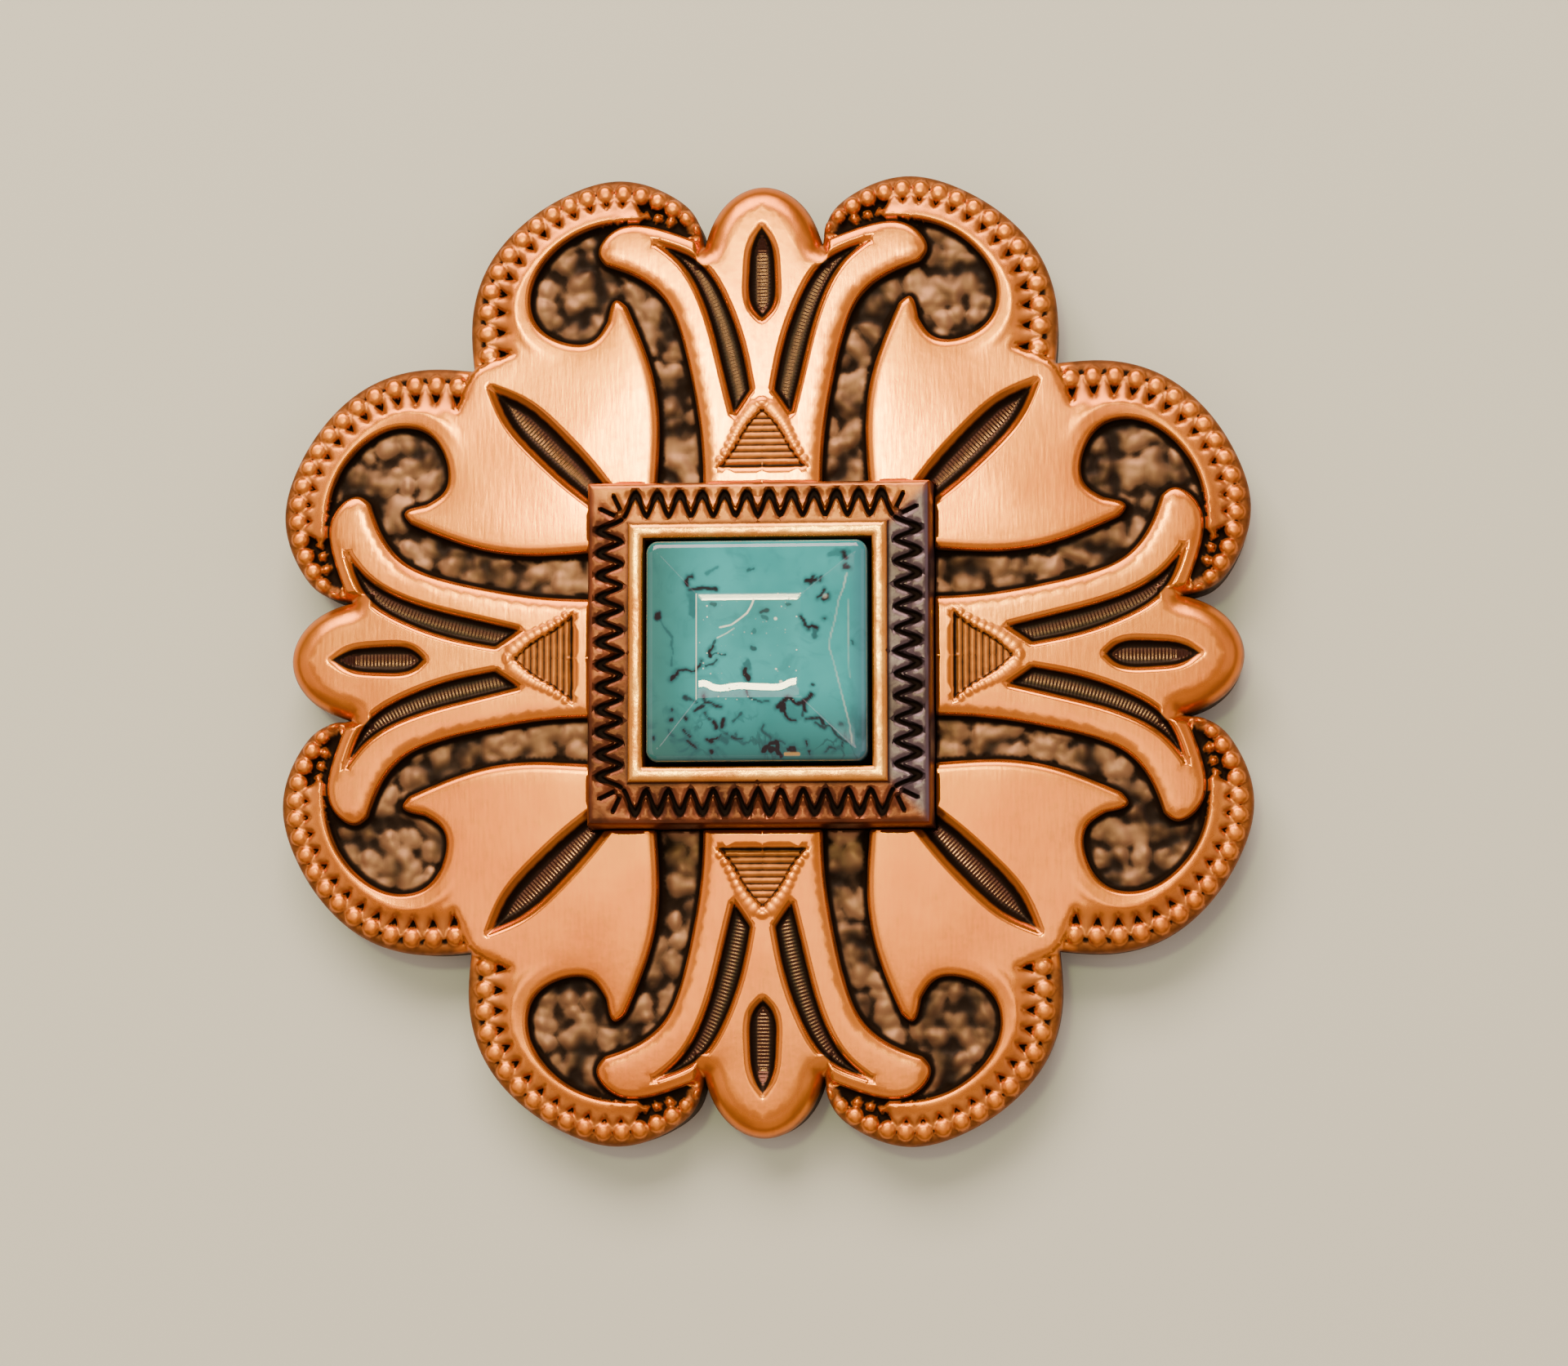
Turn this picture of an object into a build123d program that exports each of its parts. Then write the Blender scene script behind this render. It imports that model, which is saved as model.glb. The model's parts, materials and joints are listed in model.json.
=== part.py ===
"""A square-stone screw-back concho: scalloped cast plate, raised frame, stone and post (millimetres).

The origin is on the post's axis, level with the back rim that the concho lies on. +Z points out
of the decorated face and +Y to the top lily.
"""
import os
from math import atan2, cos, degrees, hypot, radians

from build123d import *

os.makedirs("parts", exist_ok=True)

# Plate
half_width = 19.0  # from the axis to the top of a lobe
lily_count = 4
plate_height = 2.85  # back rim to the floor of the relief
relief_height = 0.55  # floor to the top of the raised ornament
ridge_height = 0.12  # bright ridge round each scroll, above the ornament
rim_bevel = 0.35  # sloping outer edge of the plate
rim_wall = 1.90  # between the hollow back and the deepest notch of the outline
dish_slope = 1.70  # how far the hollow's side leans in
web = 0.85  # thickness left between the frame's seat and the hollow

# Grooves in the raised ornament
groove_depth = 0.38
groove_floor_share = 0.35  # width of a groove's floor as a share of its mouth
ladder_line = 0.10  # width of one engraved line
ladder_depth = 0.12
ladder_lines = 8

# Beads on the lobes' edge
bead_count = 18
bead_radius = 0.30
bead_height = 0.50
bead_top_radius = 0.14
bead_sides = 10
bead_growth = 0.020  # each step along the lobe is this much longer than the last

# Zigzag edge of the scrolls behind the beads, measured inwards from the line of beads
tooth_root_at_finial = 0.40  # behind a bead
tooth_root_at_diagonal = 0.97
tooth_tip_at_finial = 0.15  # between two beads
tooth_tip_at_diagonal = -0.11

# Frame
frame_side = 13.2
frame_draft = 0.12  # how far the foot stands out past the top edge
frame_rise = 1.90  # above the raised ornament
frame_chamfer = 0.18
seat_depth = 0.35  # the frame's seat below the floor of the relief
seat_clearance = 0.03
cup_floor = 1.15  # thickness under the stone
lip_wall = 0.60
lip_rise = 0.45
lip_bevel = 0.22
zigzag_count = 12  # turns on one side
zigzag_inset = 0.25  # from the frame's edge to the outer turns
zigzag_span = 1.00  # across the zigzag
zigzag_line = 0.20
zigzag_depth = 0.22

# Stone
stone_side = 8.5
stone_clearance = 0.15
stone_corner = 0.45  # length cut off each side at a clipped corner
table_corner = 0.20
stone_bed = 0.04  # glue line
stone_wall_top = 0.10  # the stone's straight side ends this far under the lip
stone_shoulder_rise = 0.45
stone_shoulder_inset = 0.50
stone_crown_rise = 0.25
table_side = 4.2

# Post
post_radius = 3.175
post_recess = 0.30  # from the back rim to the post's end
post_clearance = 0.04
spigot_radius = 2.60
socket_depth = 0.48  # how far the spigot reaches into the frame
bore_radius = 1.73
bore_cap = 0.55

# Levels
relief_top = plate_height + relief_height
seat_level = plate_height - seat_depth
frame_bottom = seat_level + seat_clearance
frame_top = relief_top + frame_rise
lip_top = frame_top + lip_rise
cup_level = frame_bottom + cup_floor
dish_depth = seat_level - web
post_top = dish_depth - post_clearance
spigot_top = frame_bottom + socket_depth
bore_length = spigot_top - bore_cap - post_recess
stone_bottom = cup_level + stone_bed
stone_girdle = lip_top - stone_wall_top
stone_shoulder = stone_girdle + stone_shoulder_rise
stone_top = stone_shoulder + stone_crown_rise

# Sizes that follow from others
cup_side = stone_side + 2 * stone_clearance
lip_side = cup_side + 2 * lip_wall
foot_side = frame_side + 2 * frame_draft
seat_side = foot_side + 2 * seat_clearance
post_hole_radius = spigot_radius + post_clearance
shoulder_side = stone_side - 2 * stone_shoulder_inset

# Outlines of one eighth of the plate, as shares of half_width. x runs right from the axis of the
# top lily, y runs up it. The eighth is mirrored and turned to make the whole.
#                x       y
FINIAL_EDGE = [(0.0000, 0.9830),
               (0.0676, 0.9567),
               (0.1112, 0.8944),
               (0.1227, 0.8569)]
LOBE_EDGE = [(0.1227, 0.8569),
             (0.1420, 0.9230),
             (0.1910, 0.9660),
             (0.3020, 0.9990),
             (0.4090, 0.9710),
             (0.5040, 0.9100),
             (0.5775, 0.8190),
             (0.6080, 0.7070),
             (0.6030, 0.6030)]
SCROLL_WALL = [(0.2200, 0.3580),
               (0.2147, 0.4790),
               (0.2276, 0.5810),
               (0.2567, 0.6680),
               (0.2828, 0.7290)]
CUSP = [(0.2828, 0.7290),
        (0.3015, 0.7430),
        (0.3203, 0.6985)]
BULB = [(0.3203, 0.6985),
        (0.3509, 0.6588),
        (0.4203, 0.6588),
        (0.4748, 0.7019),
        (0.4838, 0.7598),
        (0.4456, 0.8365),
        (0.3765, 0.8876),
        (0.2930, 0.9075),
        (0.2530, 0.9080)]
SCROLL_TIP = (0.2450, 0.9180)
LILY_WALL = [(0.1204, 0.3580),
             (0.1261, 0.4617),
             (0.1458, 0.5809),
             (0.1687, 0.6746),
             (0.2022, 0.7462),
             (0.2675, 0.7967),
             (0.3237, 0.8177)]
PETAL_TIP = [(0.3237, 0.8177),
             (0.3385, 0.8390),
             (0.3186, 0.8807),
             (0.2743, 0.8995),
             (0.2198, 0.8927),
             (0.1363, 0.8637)]
BEAD_LINE = [(0.1312, 0.8927),
             (0.1857, 0.9353),
             (0.2913, 0.9685),
             (0.3952, 0.9489),
             (0.4957, 0.8816),
             (0.5639, 0.7751),
             (0.5690, 0.6337)]
RIDGE_INNER = [(0.2560, 0.9150),
               (0.2945, 0.9140),
               (0.3793, 0.8934),
               (0.4504, 0.8409),
               (0.4903, 0.7608),
               (0.4950, 0.7300)]
RIDGE_OUTER = [(0.2560, 0.9230),
               (0.3070, 0.9370),
               (0.3800, 0.9160),
               (0.4450, 0.8700),
               (0.4910, 0.8080),
               (0.4950, 0.7300)]
FEATHER_OUTER = [(0.0240, 0.5520),
                 (0.0440, 0.6423),
                 (0.0815, 0.7428),
                 (0.1360, 0.8205),
                 (0.2266, 0.8569)]
FEATHER_INNER = [(0.0596, 0.5000),
                 (0.0818, 0.5963),
                 (0.1186, 0.7351),
                 (0.1731, 0.8296),
                 (0.2266, 0.8569)]
EYE_SIDE = [(0.0000, 0.6950),
            (0.0190, 0.7240),
            (0.0290, 0.7922),
            (0.0170, 0.8600),
            (0.0000, 0.8950)]
LADDER_SIDE = [(0.0852, 0.3850),
               (0.0605, 0.4284),
               (0.0387, 0.4787),
               (0.0136, 0.5060)]
# Almond groove on the diagonal: distance from the axis along it, and half width across it
ALMOND_SIDE = [(0.4600, 0.0230),
               (0.5380, 0.0324),
               (0.6275, 0.0358),
               (0.7260, 0.0273),
               (0.7960, 0.0000)]
# Middle of the finial's round end
FINIAL_CENTRE = (0.0000, 0.8603)
finial_inset_share = 1 - rim_bevel / (FINIAL_EDGE[-1][0] * half_width)
notch_radius = min(hypot(*LOBE_EDGE[0]), hypot(*LOBE_EDGE[-1])) * half_width
dish_radius = notch_radius - rim_wall


def scaled(rows):
    """Turn rows of shares into points in millimetres."""
    return [(x * half_width, y * half_width) for x, y in rows]


def other_side(rows):
    """Mirror rows of shares across the lily's axis, walked the other way."""
    return [(-x, y) for x, y in reversed(rows)]


def both_sides(rows):
    """Rows of shares that start on the lily's axis, with their mirror image before them."""
    return other_side(rows)[:-1] + rows


def on_diagonal(row):
    """The point under a row of shares where the lobe's diagonal passes."""
    return (row[0], abs(row[0]))


def across_diagonal(rows):
    """Mirror rows of shares across the lobe's diagonal, walked the other way."""
    return [(y, x) for x, y in reversed(rows)]


def along_diagonal(rows):
    """Turn (along, across) shares on the diagonal into x, y shares."""
    turn = cos(radians(45))
    return [((along + across) * turn, (along - across) * turn) for along, across in rows]


def shrunk(rows, centre, share):
    """Draw rows of shares together about a centre line point, to a share of their offset."""
    return [(centre_x + (x - centre_x) * share, centre_y + (y - centre_y) * share)
            for (x, y), (centre_x, centre_y) in zip(rows, centre)]


def midway(rows, others):
    """The centre line between two outlines that have as many points."""
    return [((x1 + x2) / 2, (y1 + y2) / 2) for (x1, y1), (x2, y2) in zip(rows, others)]


def smooth(rows):
    """Add one smooth curve through rows of shares."""
    return Spline(*scaled(rows))


def straight(*rows):
    """Add straight lines through rows of shares."""
    return Polyline(*scaled(rows))


def repeated(sketch):
    """Add a sketch at the four lilies."""
    with PolarLocations(0, lily_count):
        add(sketch)


def outline(level, share):
    """The plate's outline as a flat face at a level, drawn in to a share of its size."""
    with BuildSketch(mode=Mode.PRIVATE) as quarter:
        with BuildLine():
            smooth(both_sides(FINIAL_EDGE))
            smooth(LOBE_EDGE)
            straight(LOBE_EDGE[-1], (0, 0), other_side(LOBE_EDGE)[0])
            smooth(other_side(LOBE_EDGE))
        make_face()
    with BuildSketch(Plane.XY.offset(level), mode=Mode.PRIVATE) as whole:
        repeated(quarter.sketch)
        scale(by=share)
    return whole.sketch


def bead_places():
    """Beads along one lobe: point, outward direction and place from 0 to 1."""
    line = Spline(*scaled(BEAD_LINE), mode=Mode.PRIVATE)
    steps = [1 + bead_growth * step for step in range(bead_count - 1)]
    places = []
    for bead in range(bead_count):
        place = sum(steps[:bead]) / sum(steps)
        point = line @ place
        along = line % place
        places.append((point, Vector(-along.Y, along.X), place))
    return places


def zigzag_edge():
    """The plateau's toothed edge behind the beads, from the scroll's tip to the diagonal."""
    points = []
    beads = bead_places()
    for number, (point, outward, place) in enumerate(beads):
        root = tooth_root_at_finial + (tooth_root_at_diagonal - tooth_root_at_finial) * place
        tip = tooth_tip_at_finial + (tooth_tip_at_diagonal - tooth_tip_at_finial) * place
        if point.X > SCROLL_TIP[0] * half_width:
            points.append(point - outward * root)
            if number + 1 < len(beads):
                halfway = (point + beads[number + 1][0]) / 2
                points.append(halfway - outward * tip)
    return [(point.X, point.Y) for point in points]


def zigzag_band():
    """Outline of the zigzag groove on the frame's top side, walked there and back."""
    outer_y = frame_side / 2 - zigzag_inset
    inner_y = outer_y - zigzag_span
    half_run = (outer_y + inner_y) / 2
    pitch = 2 * half_run / zigzag_count
    slope = hypot(zigzag_span, pitch / 2) / (pitch / 2)
    thick = zigzag_line * slope / 2
    there = []
    back = []
    for step in range(2 * zigzag_count + 1):
        x = -half_run + step * pitch / 2
        y = inner_y + thick if step % 2 == 0 else outer_y - thick
        there.append((x, y + thick))
        back.append((x, y - thick))
    return there + back[::-1]


def clipped_square(side, corner):
    """Corners of a square that has its own corners cut off, so that it has eight sides."""
    near = side / 2 - corner
    far = side / 2
    return [(far, -near), (far, near), (near, far), (-near, far),
            (-far, near), (-far, -near), (-near, -far), (near, -far)]


def groove(outer, inner):
    """The solid that a groove takes out between two sides, narrowing to its floor."""
    centre = midway(outer, inner)
    with BuildPart() as cutter:
        for level, share in ((relief_top - groove_depth, groove_floor_share), (relief_top, 1)):
            outer_side = shrunk(outer, centre, share)
            inner_side = shrunk(inner, centre, share)
            with BuildSketch(Plane.XY.offset(level)):
                with BuildLine():
                    smooth(outer_side)
                    smooth(inner_side)
                    if outer[0] != inner[0]:
                        straight(outer_side[0], inner_side[0])
                    if outer[-1] != inner[-1]:
                        straight(outer_side[-1], inner_side[-1])
                make_face()
        loft(ruled=True)
    return cutter.part


def width_at(rows, height):
    """Half width of the outline in rows at a height, all in shares."""
    for (x1, y1), (x2, y2) in zip(rows, rows[1:]):
        if y1 <= height <= y2:
            return x1 + (x2 - x1) * (height - y1) / (y2 - y1)
    return rows[-1][0]


# What is taken out of the plate: grooves, the frame's square seat, the post's hole, the hollow back
with BuildPart() as quarter_grooves:
    feather = groove(FEATHER_OUTER, FEATHER_INNER)
    add(feather)
    add(feather.mirror(Plane.YZ))
    add(groove(EYE_SIDE, other_side(EYE_SIDE)[::-1]))
    add(groove(along_diagonal(ALMOND_SIDE), across_diagonal(along_diagonal(ALMOND_SIDE))[::-1]))
    with BuildSketch(Plane.XY.offset(relief_top)):
        ladder_rise = LADDER_SIDE[-1][1] - LADDER_SIDE[0][1]
        for line in range(ladder_lines):
            height = LADDER_SIDE[0][1] + ladder_rise * line / ladder_lines
            with Locations((0, height * half_width)):
                Rectangle(2 * width_at(LADDER_SIDE, height) * half_width, ladder_line)
    extrude(amount=-ladder_depth)

with BuildPart() as cutouts:
    with PolarLocations(0, lily_count):
        add(quarter_grooves.part)
    with BuildSketch():
        Circle(dish_radius)
    with BuildSketch(Plane.XY.offset(dish_depth)):
        Circle(dish_radius - dish_slope)
    loft()
    with BuildSketch(Plane.XY.offset(dish_depth)):
        Circle(post_hole_radius)
    extrude(amount=seat_level - dish_depth)
    with BuildSketch(Plane.XY.offset(seat_level)):
        Rectangle(seat_side, seat_side)
    extrude(amount=relief_top + ridge_height - seat_level)

with BuildPart() as bead:
    with BuildSketch():
        RegularPolygon(bead_radius, bead_sides)
    extrude(amount=bead_height, taper=degrees(atan2(bead_radius - bead_top_radius, bead_height)))

# The raised ornament: lilies, scrolls, the bright ridge round each scroll, and the beads
with BuildPart() as ornament:
    finial_top = shrunk(FINIAL_EDGE, [FINIAL_CENTRE] * len(FINIAL_EDGE), finial_inset_share)
    petal = PETAL_TIP + [finial_top[-1]]
    with BuildSketch(mode=Mode.PRIVATE) as lily:
        with BuildLine():
            smooth(both_sides(finial_top))
            smooth(petal)
            smooth(LILY_WALL)
            straight(LILY_WALL[0], on_diagonal(LILY_WALL[0]), (0, 0))
            straight((0, 0), on_diagonal(other_side(LILY_WALL)[-1]), other_side(LILY_WALL)[-1])
            smooth(other_side(LILY_WALL))
            smooth(other_side(petal))
        make_face()
    with BuildSketch(mode=Mode.PRIVATE) as scroll:
        with BuildLine():
            straight(on_diagonal(SCROLL_WALL[0]), SCROLL_WALL[0])
            smooth(SCROLL_WALL)
            smooth(CUSP)
            smooth(BULB)
            straight(BULB[-1], SCROLL_TIP)
            Polyline(scaled([SCROLL_TIP])[0], *zigzag_edge(), scaled([LOBE_EDGE[-1]])[0])
            straight(LOBE_EDGE[-1], on_diagonal(SCROLL_WALL[0]))
        make_face()
        mirror(about=Plane.YZ)
    with BuildSketch(Plane.XY.offset(plate_height)):
        repeated(lily.sketch)
        repeated(scroll.sketch)
    extrude(amount=relief_height)
    with BuildSketch(mode=Mode.PRIVATE) as ridges:
        with BuildLine():
            smooth(RIDGE_OUTER)
            smooth(RIDGE_INNER)
            straight(RIDGE_OUTER[0], RIDGE_INNER[0])
        make_face()
        mirror(about=Plane.YZ)
    with BuildSketch(Plane.XY.offset(relief_top)):
        repeated(ridges.sketch)
    extrude(amount=ridge_height)
    spots = [(point.X, point.Y) for point, outward, place in bead_places()]
    spots += [(-x, y) for x, y in spots]
    with PolarLocations(0, lily_count):
        with Locations(*[(x, y, plate_height) for x, y in spots]):
            add(bead.part)

# One cast plate with its raised ornament and hollow back
with BuildPart() as concho_body:
    add(outline(0, 1))
    extrude(amount=plate_height - rim_bevel)
    add(outline(plate_height - rim_bevel, 1))
    add(outline(plate_height, 1 - rim_bevel / half_width))
    loft(ruled=True)
    add(ornament.part)
    add(cutouts.part, mode=Mode.SUBTRACT)

# Square frame with its zigzag border, raised lip, cup for the stone and socket for the post
with BuildPart() as setting_frame:
    with BuildSketch(Plane.XY.offset(frame_bottom)):
        Rectangle(foot_side, foot_side)
    with BuildSketch(Plane.XY.offset(frame_top)):
        Rectangle(frame_side, frame_side)
    loft(ruled=True)
    chamfer(setting_frame.faces().sort_by(Axis.Z)[-1].edges(), length=frame_chamfer)
    with BuildSketch(Plane.XY.offset(frame_top)):
        Rectangle(lip_side, lip_side)
    extrude(amount=lip_rise)
    chamfer(setting_frame.faces().sort_by(Axis.Z)[-1].edges(), length=lip_bevel)
    with BuildSketch(Plane.XY.offset(cup_level)):
        Rectangle(cup_side, cup_side)
    extrude(amount=lip_top - cup_level, mode=Mode.SUBTRACT)
    with BuildSketch(Plane.XY.offset(frame_bottom)):
        Circle(post_hole_radius)
    extrude(amount=spigot_top + post_clearance - frame_bottom, mode=Mode.SUBTRACT)
    with BuildSketch(Plane.XY.offset(frame_top)):
        with PolarLocations(0, lily_count):
            Polygon(*zigzag_band(), align=None)
    extrude(amount=-zigzag_depth, mode=Mode.SUBTRACT)

# Square stone: straight sides, a sloping shoulder, a low crown and a flat table
with BuildPart() as stone:
    with BuildSketch(Plane.XY.offset(stone_bottom)):
        Polygon(*clipped_square(stone_side, stone_corner), align=None)
    with BuildSketch(Plane.XY.offset(stone_girdle)):
        Polygon(*clipped_square(stone_side, stone_corner), align=None)
    loft(ruled=True)
    with BuildSketch(Plane.XY.offset(stone_girdle)):
        Polygon(*clipped_square(stone_side, stone_corner), align=None)
    with BuildSketch(Plane.XY.offset(stone_shoulder)):
        Polygon(*clipped_square(shoulder_side, stone_corner), align=None)
    loft(ruled=True)
    with BuildSketch(Plane.XY.offset(stone_shoulder)):
        Polygon(*clipped_square(shoulder_side, stone_corner), align=None)
    with BuildSketch(Plane.XY.offset(stone_top)):
        Polygon(*clipped_square(table_side, table_corner), align=None)
    loft(ruled=True)

# Threaded post: a wide barrel behind the plate and a spigot up into the frame
with BuildPart() as screw_post:
    with BuildSketch(Plane.XY.offset(post_recess)):
        Circle(post_radius)
    extrude(amount=post_top - post_recess)
    with BuildSketch(Plane.XY.offset(post_top)):
        Circle(spigot_radius)
    extrude(amount=spigot_top - post_top)
    with BuildSketch(Plane.XY.offset(post_recess)):
        Circle(bore_radius)
    extrude(amount=bore_length, mode=Mode.SUBTRACT)

concho_body.part.label = "concho_body"
setting_frame.part.label = "setting_frame"
stone.part.label = "stone"
screw_post.part.label = "screw_post"
export_step(concho_body.part, "parts/concho_body.step")
export_step(setting_frame.part, "parts/setting_frame.step")
export_step(stone.part, "parts/stone.step")
export_step(screw_post.part, "parts/screw_post.step")
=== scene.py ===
"""Looks of the square-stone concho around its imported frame. Metres, Z up."""

import json
import math

import bpy
import numpy as np
from mathutils import Matrix, Vector
from mathutils.geometry import delaunay_2d_cdt

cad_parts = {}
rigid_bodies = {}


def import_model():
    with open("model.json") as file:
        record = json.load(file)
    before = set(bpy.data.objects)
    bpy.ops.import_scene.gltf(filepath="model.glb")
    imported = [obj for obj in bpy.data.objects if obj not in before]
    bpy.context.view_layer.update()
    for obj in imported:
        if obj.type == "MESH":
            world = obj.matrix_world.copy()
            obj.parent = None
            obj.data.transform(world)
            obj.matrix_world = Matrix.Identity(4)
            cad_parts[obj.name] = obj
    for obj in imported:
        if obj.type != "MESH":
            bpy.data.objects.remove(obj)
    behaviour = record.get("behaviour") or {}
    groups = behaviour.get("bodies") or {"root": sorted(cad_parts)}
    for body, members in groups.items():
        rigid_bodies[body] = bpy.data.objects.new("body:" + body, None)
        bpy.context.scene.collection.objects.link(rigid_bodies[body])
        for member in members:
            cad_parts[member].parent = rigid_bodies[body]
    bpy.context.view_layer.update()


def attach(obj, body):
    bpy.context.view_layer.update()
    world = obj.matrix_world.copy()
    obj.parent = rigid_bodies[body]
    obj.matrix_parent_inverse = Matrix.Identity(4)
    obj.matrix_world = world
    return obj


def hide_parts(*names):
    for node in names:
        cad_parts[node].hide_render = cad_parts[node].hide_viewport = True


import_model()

MM = 0.001
HALF = 19.0  # millimetres from the axis to the top of a lobe
ROOT_HALF = math.sqrt(.5)

# Levels, half widths and radii of the plate in millimetres
FLOOR = 2.85
RELIEF = 0.55
TOP = FLOOR + RELIEF
SEAT = 2.50
SEAT_HALF = 6.75
RIM_BEVEL = .35  # sloping outer edge of the plate
FINIAL_HALF = 2.6  # half the width of a finial
HOLE = 2.64
DISH_RIM, DISH_TOP = 14.30, 12.60  # radii of the dished back
CEILING = 1.65

# Lines of the ornament as x and y in shares of HALF, the almond along and across its diagonal
FINIAL_EDGE = [(0.0, .9830), (.0676, .9567), (.1112, .8944), (.1227, .8569)]
FINIAL_TOP = FINIAL_EDGE[0][1] * HALF
LOBE_EDGE = [(.1227, .8569), (.1420, .9230), (.1910, .9660), (.3020, .9990), (.4090, .9710),
             (.5040, .9100), (.5775, .8190), (.6080, .7070), (.6030, .6030)]
SCROLL_WALL = [(.2210, .3380), (.2200, .3580), (.2147, .4790), (.2276, .5810), (.2567, .6680),
               (.2828, .7290)]
CUSP = [(.2828, .7290), (.3015, .7430), (.3203, .6985)]
BULB = [(.3203, .6985), (.3509, .6588), (.4203, .6588), (.4748, .7019), (.4838, .7598),
        (.4456, .8365), (.3765, .8876), (.2930, .9075), (.2530, .9080)]
SCROLL_TIP = (.2450, .9180)
LILY_WALL = [(.1204, .3380), (.1204, .3580), (.1261, .4617), (.1458, .5809), (.1687, .6746),
             (.2022, .7462), (.2675, .7967), (.3237, .8177)]
PETAL_TIP = [(.3237, .8177), (.3385, .8390), (.3186, .8807), (.2743, .8995), (.2198, .8927),
             (.1363, .8637), (.1186, .8569)]
BEAD_LINE = [(.1312, .8927), (.1857, .9353), (.2913, .9685), (.3952, .9489), (.4957, .8816),
             (.5639, .7751), (.5690, .6337)]
RIDGE = [(.2500, .9195), (.2800, .9235), (.3180, .9225), (.3797, .9047), (.4477, .8555),
         (.4930, .7850), (.4990, .7280), (.4880, .6850), (.4560, .6520), (.4100, .6400)]
FEATHER_OUTER = [(.0240, .5520), (.0420, .6423), (.0775, .7428), (.1300, .8205), (.2200, .8610)]
FEATHER_INNER = [(.0596, .5000), (.0830, .5963), (.1220, .7351), (.1741, .8236), (.2200, .8610)]
EYE_SIDE = [(0.0, .6980), (.0200, .7200), (.0290, .7922), (.0185, .8640), (0.0, .8960)]
LADDER_SIDE = [(.0860, .3960), (.0605, .4350), (.0387, .4787), (.0136, .5110)]
LADDER_BASE = .3935
RUNGS = np.linspace(.3960, .5060, 9) * HALF
CRUST_OUT = .12  # from the ladder's edge to the middle of its row of drops
ALMOND = [(.4600, .0230), (.5380, .0324), (.6275, .0358), (.7260, .0273), (.7960, .0)]
BEADS = 18
BEAD_GROWTH = .020


def runs(line):
    """How far along a polyline each of its points lies."""
    return np.concatenate([[0], np.cumsum(np.hypot(*np.diff(line, axis=0).T))])


def at_share(run, rows, share):
    """Rows that belong to points along a line, at shares of its length."""
    return np.stack([np.interp(share * run[-1], run, rows[:, k]) for k in (0, 1)], -1)


def spline(rows, step, scale=HALF):
    """Natural cubic spline through rows, sampled about every step, in millimetres."""
    p = np.array(rows, float) * scale
    t = runs(p)
    n = len(p)
    h = np.diff(t)
    a = np.eye(n)
    b = np.zeros((n, 2))
    for i in range(1, n - 1):
        a[i, i - 1:i + 2] = h[i - 1], 2 * (h[i - 1] + h[i]), h[i]
        b[i] = 6 * ((p[i + 1] - p[i]) / h[i] - (p[i] - p[i - 1]) / h[i - 1])
    m = np.linalg.solve(a, b)
    s = np.linspace(0, t[-1], max(2, math.ceil(t[-1] / step)) + 1)
    k = np.clip(np.searchsorted(t, s, side="right") - 1, 0, n - 2)
    left = (t[k + 1] - s)[:, None]
    right = (s - t[k])[:, None]
    width = h[k][:, None]
    return ((m[k] * left ** 3 + m[k + 1] * right ** 3) / (6 * width)
            + (p[k] / width - m[k] * width / 6) * left
            + (p[k + 1] / width - m[k + 1] * width / 6) * right)


def at_level(values, level):
    """Values or points with one more coordinate, the same for all."""
    return np.column_stack([values, np.full(len(values), level)])


def resample(line, step):
    """A polyline with its points about step apart, ends kept."""
    t = runs(line)
    s = np.linspace(0, t[-1], max(1, round(t[-1] / step)) + 1)
    return np.stack([np.interp(s, t, line[:, 0]), np.interp(s, t, line[:, 1])], 1)


def leg(start, end, step):
    """Points about step apart from start up to, but without, end."""
    return resample(np.array([start, end], float), step)[:-1]


def nearest(points, line):
    """Distance from each point to a polyline, and how far along it the nearest place is."""
    a = line[:-1]
    d = line[1:] - a
    square = np.maximum((d ** 2).sum(1), 1e-12)
    length = np.sqrt(square)
    start = np.concatenate([[0], np.cumsum(length)[:-1]])
    away = np.empty(len(points))
    along = np.empty(len(points))
    for i in range(0, len(points), 3000):
        q = points[i:i + 3000, None, :] - a[None]
        t = np.clip((q * d).sum(2) / square, 0, 1)
        r = np.sqrt(((q - t[..., None] * d) ** 2).sum(2))
        j = r.argmin(1)
        rows = np.arange(len(j))
        away[i:i + 3000] = r[rows, j]
        along[i:i + 3000] = start[j] + t[rows, j] * length[j]
    return away, along


def inside(points, polygon):
    """Which points lie in a closed polygon."""
    a = polygon
    b = np.roll(polygon, -1, axis=0)
    out = np.zeros(len(points), bool)
    for i in range(0, len(points), 3000):
        x = points[i:i + 3000, 0, None]
        y = points[i:i + 3000, 1, None]
        over = (a[:, 1] > y) != (b[:, 1] > y)
        rise = np.where(b[:, 1] == a[:, 1], 1e-12, b[:, 1] - a[:, 1])
        cross = x < (b[:, 0] - a[:, 0]) * (y - a[:, 1]) / rise + a[:, 0]
        out[i:i + 3000] = (over & cross).sum(1) % 2 == 1
    return out


def ramp(x, low, high):
    """Smooth step from 0 at low to 1 at high."""
    t = np.clip((x - low) / (high - low), 0, 1)
    return t * t * (3 - 2 * t)


def fall(x, low, high):
    """Smooth step from 1 at low to 0 at high."""
    return 1 - ramp(x, low, high)


def most(*layers):
    """The largest of several layers, point by point."""
    return np.max(np.broadcast_arrays(*layers), axis=0)


def dome(t):
    """Round shoulder: 0 at t = 0, 1 from t = 1 on."""
    return np.sqrt(np.clip(1 - (1 - np.clip(t, 0, 1)) ** 2, 0, 1))


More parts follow.
